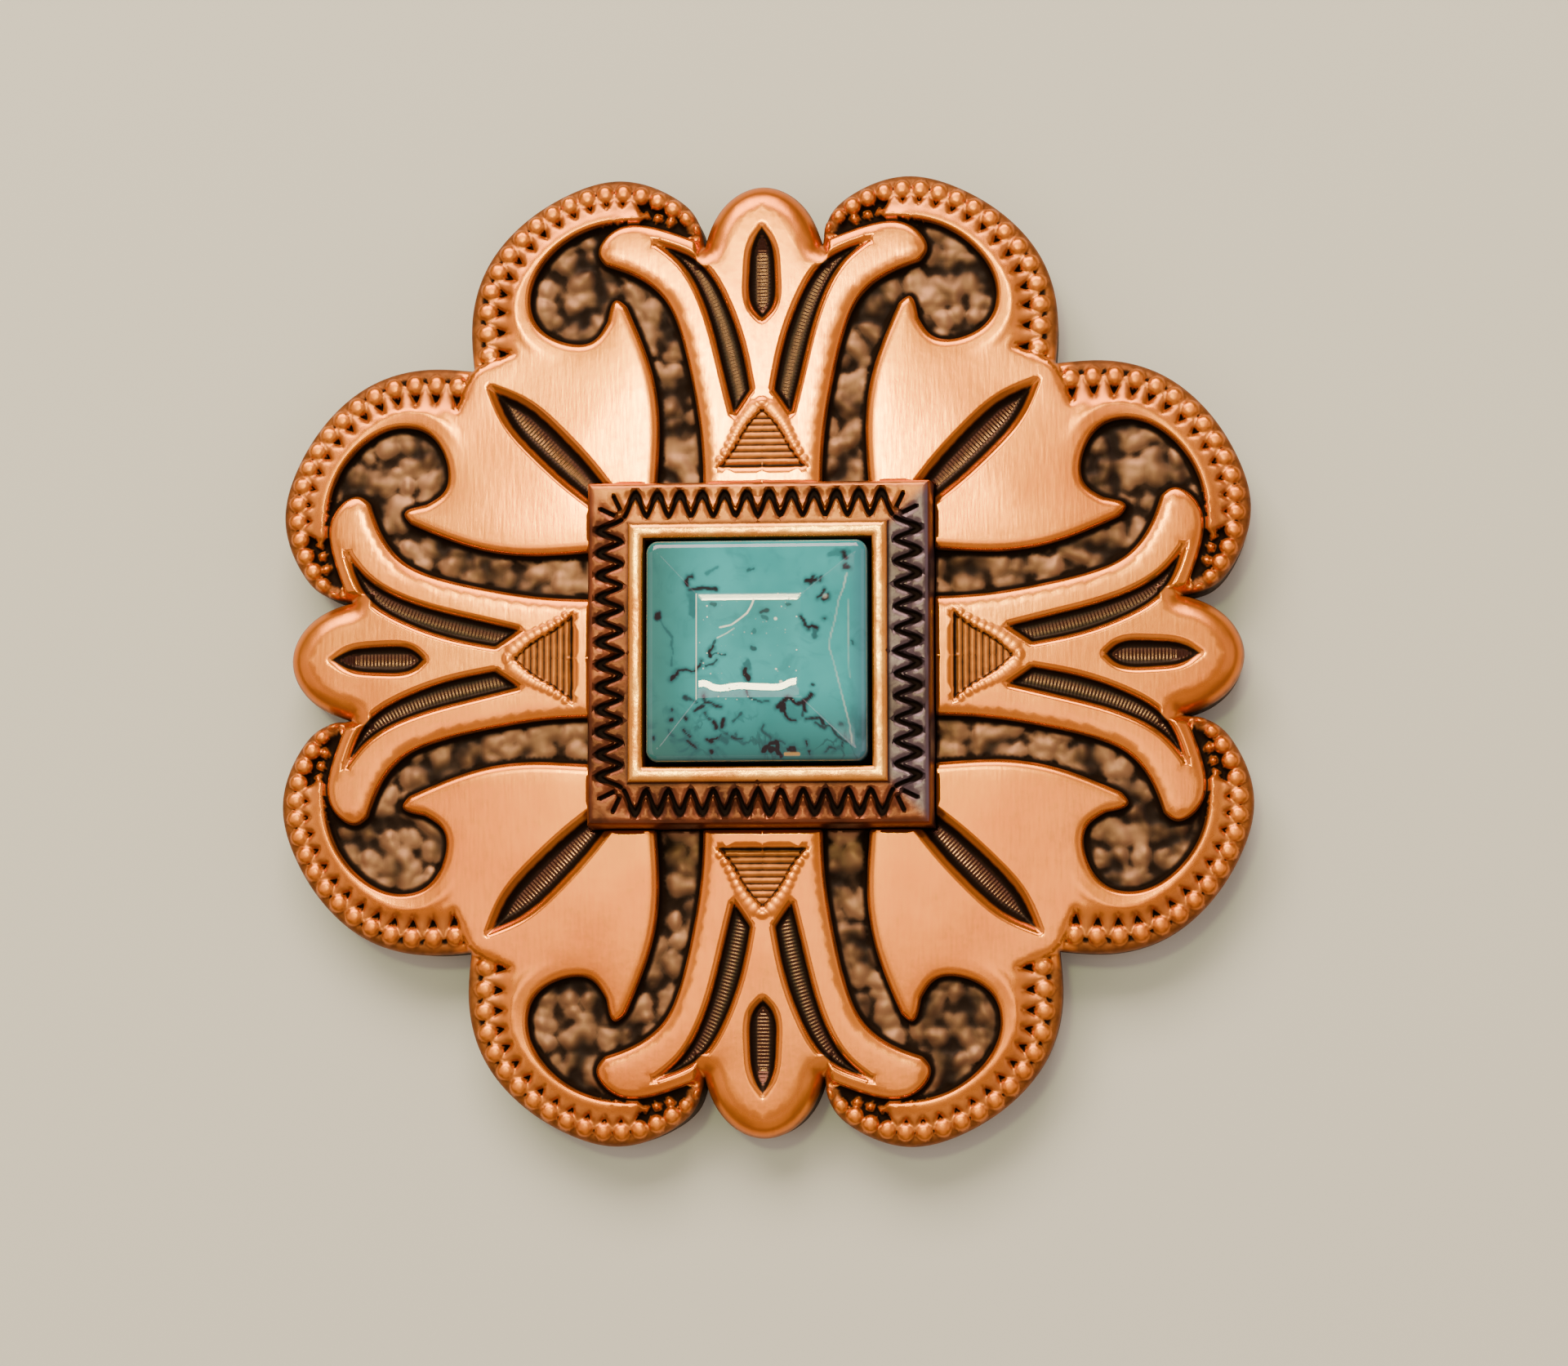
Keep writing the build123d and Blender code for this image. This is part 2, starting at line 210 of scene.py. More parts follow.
class Cloud:
    """Points kept apart by a least distance."""

    def __init__(self, border):
        self.cells = {}
        self.points = []
        self.domain = border
        self.edge = np.concatenate([border, border[:1]])
        self.add(border, .001)
        self.border = list(range(len(border)))

    def fill(self, points, gap, edge=.045):
        """Add the points that lie well inside the border."""
        points = points[inside(points, self.domain)]
        away, _ = nearest(points, self.edge)
        self.add(points[away > edge], gap)

    def add(self, points, gap):
        """Keep the points that are at least gap away from every kept one."""
        size = .12
        reach = math.ceil(gap / size)
        for x, y in points:
            cx, cy = math.floor(x / size), math.floor(y / size)
            near = (spot for i in range(cx - reach, cx + reach + 1)
                    for j in range(cy - reach, cy + reach + 1) for spot in self.cells.get((i, j), ()))
            if all((px - x) ** 2 + (py - y) ** 2 >= gap * gap for px, py in near):
                self.cells.setdefault((cx, cy), []).append((x, y))
                self.points.append((x, y))


def rows_beside(line, offsets, step):
    """Points in rows beside a line, to its left for a positive offset."""
    line = resample(line, step)
    tangent = np.gradient(line, axis=0)
    tangent /= np.maximum(np.hypot(*tangent.T), 1e-9)[:, None]
    normal = np.stack([-tangent[:, 1], tangent[:, 0]], 1)
    found = []
    for offset in offsets:
        row = line + offset * normal
        away, _ = nearest(row, line)
        found.append(row[away > abs(offset) * .93 - 1e-6])
    return np.concatenate(found)


def hexagons(low, high, step):
    """Points of a hexagonal grid that fills a rectangle."""
    rise = step * math.sqrt(.75)
    rows = []
    for j, y in enumerate(np.arange(low[1], high[1], rise)):
        x = np.arange(low[0] + (j % 2) * step / 2, high[0], step)
        rows.append(at_level(x, y))
    return np.concatenate(rows)


def triangles(points, loops):
    """Triangles over the points, inside the first closed loop of indices and outside the others."""
    edges = [(loop[i], loop[(i + 1) % len(loop)]) for loop in loops for i in range(len(loop))]
    verts, _, faces, origin, _, _ = delaunay_2d_cdt([Vector(p) for p in points], edges, [], 0, 1e-7)
    assert len(verts) == len(points)
    faces = np.array([f if len(f) == 3 else (0, 0, 0) for f in faces])
    faces = np.array([origin[i][0] for i in range(len(verts))])[faces]
    pts = np.array(points)
    centre = pts[faces].mean(1)
    keep = inside(centre, pts[loops[0]])
    for hole in loops[1:]:
        keep &= ~inside(centre, pts[hole])
    a, b, c = (pts[faces[:, k]] for k in range(3))
    turn = (b[:, 0] - a[:, 0]) * (c[:, 1] - a[:, 1]) - (b[:, 1] - a[:, 1]) * (c[:, 0] - a[:, 0])
    keep &= abs(turn) > 1e-9
    faces, turn = faces[keep], turn[keep]
    faces[turn < 0] = faces[turn < 0][:, ::-1]
    return faces


def eightfold(points, faces, values):
    """The octant x >= 0, y >= x mirrored and turned to the whole, welded along its seams."""
    everything, sheets, copies = [], [], []
    count = len(points)
    for turn in range(4):
        for mirror in (False, True):
            p = points.copy()
            if mirror:
                p[:, 0] = -p[:, 0]
            for _ in range(turn):
                p = np.stack([-p[:, 1], p[:, 0]], 1)
            f = faces + count * len(everything)
            sheets.append(f[:, ::-1] if mirror else f)
            everything.append(p)
            copies.append(values)
    p = np.concatenate(everything)
    f = np.concatenate(sheets)
    key = np.round(p * 1e5).astype(np.int64)
    _, first, back = np.unique(key, axis=0, return_index=True, return_inverse=True)
    f = back.reshape(-1)[f]
    v = np.concatenate(copies)[first]
    return p[first], f, v


def rim_loop(faces, start):
    """Boundary vertices of a sheet in walking order, from a starting vertex."""
    edges = {}
    for f in faces:
        for i in range(3):
            a, b = int(f[i]), int(f[(i + 1) % 3])
            edges[(a, b)] = True
    after = {a: b for a, b in edges if (b, a) not in edges}
    loop = [start]
    while after[loop[-1]] != start:
        loop.append(after[loop[-1]])
    return loop


def rim_from(points, faces, reach):
    """The boundary loop that passes the Y axis at a distance, started there."""
    return rim_loop(faces, int(np.argmin(abs(points[:, 0]) * 1e3 + abs(points[:, 1] - reach))))


def directions(xy):
    """Unit vectors towards the points."""
    angle = np.arctan2(xy[:, 1], xy[:, 0])
    return np.stack([np.cos(angle), np.sin(angle)], 1)


class Shell:
    """A mesh put together from a sheet and rings of vertices around its edges."""

    def __init__(self, points, faces, values):
        self.points = [tuple(p) for p in points]
        self.values = [tuple(v) for v in values]
        self.faces = [tuple(int(i) for i in f) for f in faces]

    def ring(self, loop, points, value):
        """Add a ring of as many points as the loop has and join them with quads."""
        first = len(self.points)
        self.points += [tuple(p) for p in points]
        self.values += [value] * len(points)
        n = len(loop)
        new = list(range(first, first + n))
        for i in range(n):
            j = (i + 1) % n
            self.faces.append((loop[j], loop[i], new[i], new[j]))
        return new

    def close(self, loop, value):
        """Close a loop with triangles to its middle."""
        first = len(self.points)
        self.points.append(tuple(np.mean([self.points[i] for i in loop], 0)))
        self.values.append(value)
        n = len(loop)
        for i in range(n):
            self.faces.append((loop[(i + 1) % n], loop[i], first))

    def build(self, name, names):
        """The mesh object with its named values."""
        mesh = bpy.data.meshes.new(name)
        mesh.from_pydata([Vector(p) * MM for p in self.points], [], self.faces)
        mesh.update()
        array = np.array(self.values, np.float32)
        for column, label in enumerate(names):
            attribute = mesh.attributes.new(label, "FLOAT", "POINT")
            attribute.data.foreach_set("value", np.ascontiguousarray(array[:, column]))
        obj = bpy.data.objects.new(name, mesh)
        bpy.context.scene.collection.objects.link(obj)
        return obj


def hashed(i, j, seed):
    """Repeatable random numbers from 0 to 1 for whole-number cells."""
    x = np.sin(i * 127.1 + j * 311.7 + seed * 74.7) * 43758.5453
    return x - np.floor(x)


def lumps(points, size, seed):
    """Soft round pebbles about size across: height from 0 between them to about 1 on top."""
    q = points / size
    cell = np.floor(q)
    total = np.zeros(len(points))
    for i in (-1, 0, 1):
        for j in (-1, 0, 1):
            c = cell + (i, j)
            x = c[:, 0] + .5 + .8 * (hashed(*c.T, seed) - .5)
            y = c[:, 1] + .5 + .8 * (hashed(*c.T, seed + 5) - .5)
            reach = .62 + .32 * hashed(*c.T, seed + 7)
            tall = .55 + .45 * hashed(*c.T, seed + 9)
            r = np.hypot(q[:, 0] - x, q[:, 1] - y) / reach
            total += (tall * np.clip(1 - r * r, 0, 1) ** 1.6) ** 2.4
    return total ** (1 / 2.4)


def waves(points, size, seed):
    """Smooth noise from -1 to 1 with features about size across."""
    q = points / size
    cell = np.floor(q)
    t = q - cell
    t = t * t * (3 - 2 * t)
    total = np.zeros(len(points))
    for i in (0, 1):
        for j in (0, 1):
            c = cell + (i, j)
            wx = t[:, 0] if i else 1 - t[:, 0]
            wy = t[:, 1] if j else 1 - t[:, 1]
            total += wx * wy * hashed(*c.T, seed)
    return total * 2 - 1


# Body


def toward(rows, centre, share):
    """Rows moved to a share of their way from a centre."""
    return [(centre[0] + (x - centre[0]) * share, centre[1] + (y - centre[1]) * share)
            for x, y in rows]


def half_spline(rows):
    """The half at x >= 0 of the smooth line through rows and their mirror image."""
    line = spline([(-x, y) for x, y in reversed(rows)][:-1] + rows, .05)
    return line[line[:, 0] >= -1e-6]


# One octant, x >= 0 and y >= x: its outline and the lines of its ornament
finial_inset = 1 - RIM_BEVEL / (FINIAL_EDGE[-1][0] * HALF)
finial_top = toward(FINIAL_EDGE, (0, .8603), finial_inset)
finial_line = half_spline(finial_top)
finial_outline = half_spline(FINIAL_EDGE)
finial_outline = np.concatenate([[(0, FINIAL_TOP)], finial_outline[finial_outline[:, 0] > 1e-6]])
lobe_outline = spline(LOBE_EDGE, .05)
outline = np.concatenate([finial_outline, lobe_outline[1:]])

# Beads: place, direction along the row, direction outwards, half widths
bead_line = spline(BEAD_LINE, .02)
steps = np.array([1 + BEAD_GROWTH * i for i in range(BEADS - 1)])
shares = np.concatenate([[0], np.cumsum(steps)]) / steps.sum()
run = runs(bead_line)
bead_at = at_share(run, bead_line, shares)
slope = at_share(run, np.gradient(bead_line, axis=0), shares)
slope /= np.hypot(*slope.T)[:, None]
bead_out = np.stack([-slope[:, 1], slope[:, 0]], 1)

bead_wide = .355 + .035 * shares
bead_wide[:2] -= .12, .05  # the first two are smaller
bead_long = bead_wide + .01 + .03 * shares

# The zigzag behind the beads
teeth = []
for number, place in enumerate(shares):
    root = .44 + .46 * place
    tip = .15 - .26 * place
    if bead_at[number, 0] > SCROLL_TIP[0] * HALF:
        teeth.append(bead_at[number] - bead_out[number] * root)
        if number + 1 < BEADS:
            teeth.append((bead_at[number] + bead_at[number + 1]) / 2 - bead_out[number] * tip)
teeth = np.array(teeth)

lily_line = np.concatenate([finial_line, spline(PETAL_TIP, .05)[::-1], spline(LILY_WALL, .05)[::-1]])
scroll_line = np.concatenate([spline(SCROLL_WALL, .05), spline(CUSP, .05)[1:], spline(BULB, .05)[1:],
                              [np.array(SCROLL_TIP) * HALF], teeth, [np.array(LOBE_EDGE[-1]) * HALF]])
lily_poly = np.concatenate([[(-3, FINIAL_TOP - RIM_BEVEL)], lily_line, [(-3, LILY_WALL[0][1] * HALF)]])
scroll_poly = np.concatenate([scroll_line, [(14, 10), (7, 3), (SCROLL_WALL[0][0] * HALF, 5)]])
ridge_line = spline(RIDGE, .05)
feather_out = spline(FEATHER_OUTER, .05)
feather_in = spline(FEATHER_INNER, .05)
feather = np.concatenate([feather_out, feather_in[::-1], feather_out[:1]])
eye = spline(EYE_SIDE, .05)
eye_poly = np.concatenate([eye, eye[::-1] * (-1, 1)])
almond = spline(ALMOND, .05)
almond_left = np.stack([(almond[:, 0] - almond[:, 1]) * ROOT_HALF,
                        (almond[:, 0] + almond[:, 1]) * ROOT_HALF], 1)
almond_poly = np.concatenate([almond_left, almond_left[::-1, ::-1]])
ladder = spline(LADDER_SIDE, .05)
ladder_poly = np.concatenate([ladder, ladder[::-1] * (-1, 1)])

# Points of the octant's mesh, closer together along every line
outline_b = resample(outline[:len(finial_outline)], .085)
outline_c = resample(outline[len(finial_outline) - 1:], .085)
border_xy = np.concatenate([
    leg((0, SEAT_HALF), (SEAT_HALF, SEAT_HALF), .13), leg((SEAT_HALF, SEAT_HALF), outline[-1], .11),
    outline_c[:0:-1], outline_b[:0:-1], leg((0, outline_b[0, 1]), (0, SEAT_HALF), .07)])

cloud = Cloud(border_xy)
fill = cloud.fill
fill(rows_beside(resample(teeth, .08), [0, .07, -.07, .15], .07), .052)
fill(rows_beside(lily_line, [0, -.06, -.12, .07, .16, .27, .40], .09), .055)
fill(rows_beside(scroll_line[:-len(teeth) - 2], [0, .06, .12, -.07, -.16, -.27, -.40], .09), .055)
for number in range(BEADS):
    wide, long = bead_wide[number], bead_long[number]
    for share, count in ((1.2, 18), (1, 18), (.86, 16), (.62, 11), (.32, 6), (0, 1)):
        a = np.linspace(0, 2 * math.pi, count, endpoint=False)
        ring = (bead_at[number] + np.outer(np.cos(a) * wide * share, slope[number])
                + np.outer(np.sin(a) * long * share, bead_out[number]))
        fill(ring, .05)
fill(rows_beside(outline, [-.06, -.13, -.21, -.30], .08), .06)
for line in (feather, eye, almond_left):
    fill(rows_beside(line, [0, .07, -.07, .15, -.15, .24, -.24], .09), .055)
feather_mid = (feather_out[np.linspace(0, len(feather_out) - 1, 90).astype(int)]
               + feather_in[np.linspace(0, len(feather_in) - 1, 90).astype(int)]) / 2
fill(rows_beside(feather_mid, [0, .07, -.07], .10), .055)
middle = np.arange(.47, .79, .0055) * HALF * ROOT_HALF
for shift in (0, .07, .14, .22, .30):
    fill(np.stack([middle - shift * ROOT_HALF, middle + shift * ROOT_HALF], 1), .055)
middle = np.arange(.705, .89, .0055) * HALF
for shift in (0, .07, .14, .22):
    fill(at_level(middle, shift)[:, ::-1], .055)
for height in RUNGS:
    half = np.interp(height, ladder[:, 1], ladder[:, 0])
    row = np.arange(.05, half, .09)
    for shift in (-.06, 0, .06):
        fill(at_level(row, height + shift), .05)
row = np.arange(.05, 1.78, .09)
for shift in (-.13, -.06, 0):
    fill(at_level(row, LADDER_BASE * HALF + shift), .05)
fill(rows_beside(ladder, np.arange(-.42, .43, .06), .06), .05)
fill(hexagons((0, .505 * HALF), (.5, .55 * HALF), .07), .055)
beside_bulb = [side * away for away in (.20, .34, .46, .53, .60, .68, .76) for side in (1, -1)]
fill(rows_beside(spline(BULB, .05), beside_bulb, .10), .055)
channel = hexagons((0, 6.7), (12.0, 19.0), .115)
channel = channel[~inside(channel, lily_poly) & ~inside(channel, scroll_poly)]
fill(channel, .07)
near_teeth = hexagons((0, 6.7), (12.0, 19.0), .13)
fill(near_teeth[nearest(near_teeth, np.concatenate([teeth, outline[-1:]]))[0] < 1.0], .08)
fill(hexagons((0, 6.7), (12.0, 19.0), .26), .16)
points = np.array(cloud.points)
faces = triangles(points, [cloud.border])


def signed(points, line, polygon):
    """Distance to a line, positive inside the polygon."""
    away, _ = nearest(points, line)
    return np.where(inside(points, polygon), away, -away)


def plateau(d, soft=.30):
    """Cast plateau: steep wall, rounded shoulder, slightly pillowed top."""
    wall = ramp(d, -.12, .03) * .76
    shoulder = dome((d + .01) / soft) * .24
    return np.where(d < -.12, 0, wall + shoulder) * RELIEF + .018 * dome(d / 1.1) - .010


# Distances to the lines, positive inside
p = points
px, py = p.T
d_lily = signed(p, lily_line, lily_poly)
d_scroll = signed(p, scroll_line, scroll_poly)
d_edge, _ = nearest(p, outline)
d_ridge, s_ridge = nearest(p, ridge_line)
length = runs(ridge_line)[-1]
ridge_end = fall(s_ridge, length - 3.2, length)
d_feather = signed(p, feather, feather)
d_eye = signed(p, eye, eye_poly)
d_almond = signed(p, almond_left, almond_poly)
d_ladder = signed(p, ladder, ladder_poly)
d_beads, _ = nearest(p, bead_line)
d_bulb, _ = nearest(p, spline(BULB, .05))

# Heights
on_ridge = ramp(s_ridge, 0, .35) * ridge_end * fall(d_ridge, .40, .60)
raised = np.maximum(plateau(d_lily), plateau(d_scroll, .30 - .17 * on_ridge))
z = FLOOR + raised
tube = .09 * np.minimum(d_bulb, .60) - .30 * np.clip(d_bulb - .60, 0, .37) ** 2 - .02
tube *= ramp(s_ridge, 0, 1.1) * ridge_end * fall(d_ridge, .50, .80)
z += tube * ramp(d_scroll, .02, .16)
tangent = bead_line[-1] - bead_line[-8]
beyond = (p - bead_line[-1]) @ (tangent / np.hypot(*tangent))
row_end = fall(beyond, -.25, .30)
band = fall(d_beads, .50, 1.15) * ramp(d_scroll, -.02, .04) * row_end
z -= .09 * band
rise_out = 1 - .75 * ramp(py, .835 * HALF, .895 * HALF)
mid_away, s_mid = nearest(p, feather_mid)
# Way into each groove, its depth, its wall's width, the way from its middle, how much darkening its middle is
# spared, how far that reaches
grooves = ((d_feather, .36, .17, mid_away, .60, .26),
           (d_eye, .34 * rise_out, .22, abs(px), .75, .32),
           (d_almond, .42, .36, abs(px - py) * ROOT_HALF, .80, .44))
for d, deep, reach, *_ in grooves:
    z -= deep * (.25 * ramp(d, -.16, .02) + .75 * ramp(d, -.05, reach))
rung = np.min(abs(py[:, None] - RUNGS[None]), axis=1)
crust_line = rows_beside(ladder, [-CRUST_OUT], .05)
crust_run = runs(crust_line)
crust_near = np.full(len(p), 9.0)
for share in np.linspace(.03, 1, 9) ** .88:
    spot = at_share(crust_run, crust_line, share)
    crust_near = np.minimum(crust_near, np.hypot(*(p - spot).T) / (.17 + .13 * share))
crust = .028 * np.clip(1 - crust_near ** 2, 0, 1) * ramp(py, 7.5, 7.8)
z += crust
in_ladder = ramp(d_ladder, -.01, .05) * (py < .512 * HALF) * ramp(crust_near, .94, 1.10)
z -= in_ladder * (.10 + .05 * fall(rung, .0, .08))
knob_near = np.hypot(px / .28, (py - .526 * HALF) / .19)
z += np.maximum(0, .035 * np.clip(1 - knob_near ** 2, 0, 1) - crust)
base_line = fall(abs(py - LADDER_BASE * HALF), .02, .09) * (px < 1.74)
z -= .06 * base_line

bead_z = np.zeros(len(p))
bead_near = np.full(len(p), 9.0)
for number in range(BEADS):
    off = p - bead_at[number]
    wide, long = bead_wide[number], bead_long[number]
    rho = np.hypot(off @ slope[number] / wide, off @ bead_out[number] / long)
    bead_z = np.maximum(bead_z, .22 * fall(rho, .95, 1.15) + .25 * np.clip(1 - rho ** 5, 0, 1) ** .85)
    bead_near = np.minimum(bead_near, rho)
# Three small drops before the first bead
for x, y, r in ((112, 533, .2), (128, 538, .19), (142, 541, .17)):
    rho = np.hypot(*(p - np.array((x, y)) * HALF / 587).T) / r
    bead_z = np.maximum(bead_z, .12 * fall(rho, .85, 1.2) + .26 * np.clip(1 - rho ** 2, 0, 1) ** .75)
    bead_near = np.minimum(bead_near, rho)
is_lobe = nearest(p, lobe_outline)[0] < nearest(p, finial_outline)[0] - .15
in_row = is_lobe * fall(d_beads, .95, 1.10) * ramp(px, 4.2, 5.0) * row_end
notch = ramp(-d_scroll, .0, .10) * ramp(bead_near, .98, 1.15) * ramp(d_edge, .46, .66)
z = most(z, FLOOR + in_row * (.26 - .24 * notch), FLOOR + bead_z)
lobe_rim = .26 * fall(d_edge, .30, .80)
z = np.where(is_lobe, np.maximum(z, FLOOR + lobe_rim), z)
z -= RIM_BEVEL * (1 - dome(d_edge / .30))
finial_edge = FLOOR - RIM_BEVEL + (TOP - FLOOR + .358) * dome(d_edge / .90)
z = np.where(~is_lobe & (px < FINIAL_HALF) & (d_edge < .90), finial_edge, z)
diagonal = (px + py) * ROOT_HALF
z -= .05 * ramp(diagonal, 10.6, 15.0) * fall(d_lily, -.5, -.05)

# Dirt and painted shade, satin, patina and pebbles
floor_mask = ((d_lily < -.02) & (d_scroll < -.02) & (is_lobe | (d_edge > .5))).astype(float)
wall_near = np.minimum(abs(d_lily), abs(d_scroll))
# Painted shade with some dirt: dark at the foot of the walls on the floors
dirt_and_shade = floor_mask * fall(wall_near, .12, .36)
# Grooves: dark walls as painted shade with dirt, less dark along the middle of the floor
for d, _, reach, away, kept, clean in grooves:
    z += .07 * np.minimum(away, .4) ** 2 * ramp(d, 0, reach)
    streak = fall(away, clean * .4, clean) * kept + .14
    dirt_and_shade = np.maximum(dirt_and_shade, ramp(d, -.06, reach * .5) * (1 - streak * ramp(d, reach * .85, reach * 1.25)))
scallop = ramp(crust_near, .92, 1.02) * fall(crust_near, 1.10, 1.32) * ramp(d_ladder, -.05, .02)
# The ladder's recess darkened as dirt and painted shade, its rungs and scalloped outline as dark lines
dirt_and_shade = most(dirt_and_shade, (.40 + .45 * fall(rung, .01, .06)) * in_ladder,
            .9 * scallop * (py < .518 * HALF) * ramp(knob_near, .85, 1.05))
# Painted shade with dirt in the gaps round the beads
bead_dirt_and_shade = floor_mask * ramp(bead_near, .86, 1.04) * (.55 + .45 * ramp(d_edge, .40, .60)) * (d_beads < 1.05)
dirt_and_shade = np.maximum(dirt_and_shade * (bead_near > .95) * ramp(d_edge, .2, .5), bead_dirt_and_shade * row_end)
satin = is_lobe * ramp(d_ridge, .25, .45) * fall(d_scroll, .30, .60) * (d_lily < .02)
satin *= row_end * (d_beads < 1.3)
satin = most(satin, fall(d_edge, .15, .50), fall(d_edge, .5, 1.2) * (~is_lobe & (px < FINIAL_HALF)),
             .4 * fall(abs(d_ladder), .30, .50) * ramp(py, 7.4, 7.8),
             .7 * fall(np.maximum(d_lily, d_scroll), .05, .50))
# Painted shade along the rolled outer edge, and the dark base line
dirt_and_shade = most(dirt_and_shade, .55 * fall(d_edge, .02, .20), .9 * base_line)
patina = most(band, .85 * in_ladder, is_lobe * (d_scroll < .02) * (d_lily < .02)
              * ramp(bead_near, .55, 1.0) * (d_beads < 1.1) * row_end)
pebbled = floor_mask * fall(1.0 - d_beads, -.25, .1)
along = np.where(d_feather > -.2, s_mid, np.where(d_almond > -.2, diagonal, py))
grooved = most(*(ramp(d, reach * .4, reach * .95) for d, _, reach, *_ in grooves))
values = np.stack([z, dirt_and_shade, pebbled, grooved, patina, along, satin], 1)

# The whole sheet with its cast grain, then its wall, seat and dished back
points, faces, values = eightfold(points, faces, values)
z, dirt_and_shade, pebbled, grooved, patina, along, satin = values.T
bent = points + .12 * np.stack([waves(points, .9, 3), waves(points, .9, 4)], 1)
stones = .72 * lumps(bent, .80, 1) + .28 * lumps(bent + 7, .46, 2)
z = z + pebbled * (.20 * stones - .07) + .004 * waves(points, 1.6, 6)
tone = np.clip(.55 * stones + .45 * (.5 + .8 * waves(bent, .9, 31)), 0, 1) * pebbled
# Painted shade with dirt in the crevices between the pebbles
dirt_and_shade = np.clip(dirt_and_shade + pebbled * .80 * fall(stones, .10, .50), 0, 1)
pebbled = np.maximum(pebbled, grooved)
tone = np.maximum(tone, .55 * grooved)
order = np.stack([dirt_and_shade, pebbled, tone, patina, grooved, along, satin], 1)
shell = Shell(np.column_stack([points, z]), faces, order)
outer = rim_from(points, faces, FINIAL_TOP)
inner = rim_from(points, faces, SEAT_HALF)
# Dirt and shade, pebbled, tone, patina, grooved, along and satin beyond the sheet; the side wall and the seat
# under the frame are darkened as painted shade
bare = (.15, 0, 0, .5, 0, 0, 1)
wall = (.78, 0, 0, 1, 0, 0, 1)
dark = (.8, 0, 0, .5, 0, 0, 1)
oxy = points[outer]
side = outer
for level, pull, value in ((2.2, 0, wall), (.14, 0, wall), (.04, .05, bare), (0, .14, bare)):
    inward = oxy * (1 - pull / np.hypot(*oxy.T))[:, None]
    side = shell.ring(side, at_level(inward, level), value)
ixy = points[inner]
unit = directions(ixy)
ring = shell.ring(inner, at_level(ixy, SEAT), dark)
for r, level in ((HOLE, SEAT), (HOLE, CEILING), (DISH_TOP - .15, CEILING), (DISH_TOP + .05, CEILING - .1),
                 (DISH_RIM - .12, .1), (DISH_RIM, 0)):
    ring = shell.ring(ring, at_level(unit * r, level), bare)
back = np.concatenate([inward, unit * DISH_RIM])
flat = triangles(back, [list(range(len(outer))), list(range(len(outer), len(back)))])[:, ::-1]
index = np.array(side + ring)
shell.faces += [tuple(int(i) for i in index[f]) for f in flat]
body = shell.build("concho_body_cast", ["dirt_and_shade", "pebbled", "tone", "patina", "grooved", "along", "satin"])


# Materials


def colour(code):
    """sRGB hex to linear RGBA."""
    parts = [int(code[i:i + 2], 16) / 255 for i in (1, 3, 5)]
    return tuple(c / 12.92 if c <= .04045 else ((c + .055) / 1.055) ** 2.4 for c in parts) + (1,)


def material(name):
    """An empty node material and its tree."""
    m = bpy.data.materials.new(name)
    m.use_nodes = True
    m.node_tree.nodes.clear()
    return m, m.node_tree


def node(tree, kind, settings=None, **links):
    """Add a node, set its properties, then its inputs: values, hex colours or other nodes' sockets."""
    n = tree.nodes.new(kind)
    for key, value in (settings or {}).items():
        setattr(n, key, value)
    for key, value in links.items():
        key = key.replace("_", " ")
        socket = n.inputs[int(key[1:])] if key[0] == "i" and key[1:].isdigit() else n.inputs[key]
        if isinstance(value, str):
            value = colour(value)
        if isinstance(value, bpy.types.NodeSocket):
            tree.links.new(value, socket)
        else:
            socket.default_value = value
    return n


def mix(tree, factor, a, b):
    """Blend two colours."""
    return node(tree, "ShaderNodeMix", {"data_type": "RGBA"}, i0=factor, i6=a, i7=b).outputs[2]


def layered(tree, base, *layers):
    """Colours laid over a base one after another, each a share and a colour."""
    for share, tint in layers:
        base = mix(tree, share, base, tint)
    return base


def calc(tree, kind, a, b=0.0, clamp=False):
    """One step of arithmetic."""
    return node(tree, "ShaderNodeMath", {"operation": kind, "use_clamp": clamp}, i0=a, i1=b).outputs[0]


def times(tree, a, b, clamp=False):
    """The product of two values."""
    return calc(tree, "MULTIPLY", a, b, clamp)


def plus(tree, a, b, clamp=False):
    """The sum of two values."""
    return calc(tree, "ADD", a, b, clamp)


def less(tree, a, b, clamp=False):
    """The first value less the second."""
    return calc(tree, "SUBTRACT", a, b, clamp)


def attribute(tree, name):
    """A value that the mesh carries."""
    return node(tree, "ShaderNodeAttribute", {"attribute_name": name}).outputs["Fac"]


def noise(tree, place, scale, detail, **more):
    """Cloudy noise, scale features to the millimetre."""
    return node(tree, "ShaderNodeTexNoise", None, Vector=place, Scale=scale / MM, Detail=detail,
                **more).outputs["Fac"]


def spread(tree, source, low, high):
    """Smooth step of a value from 0 at low to 1 at high."""
    n = node(tree, "ShaderNodeMapRange", {"interpolation_type": "SMOOTHSTEP"}, Value=source)
    n.inputs["From Min"].default_value = low
    n.inputs["From Max"].default_value = high
    return n.outputs["Result"]


def bumps(tree, *layers):
    """Stacked bumps, each a strength, a depth in millimetres and a height; the last one's normal."""
    below = {}
    for strength, depth, height in layers:
        n = node(tree, "ShaderNodeBump", None, Strength=strength, Distance=depth * MM, Height=height, **below)
        below = {"Normal": n.outputs[0]}
    return below


def surface(tree, **links):
    """The shader and the output."""
    shader = node(tree, "ShaderNodeBsdfPrincipled", None, **links)
    node(tree, "ShaderNodeOutputMaterial", None, Surface=shader.outputs[0])


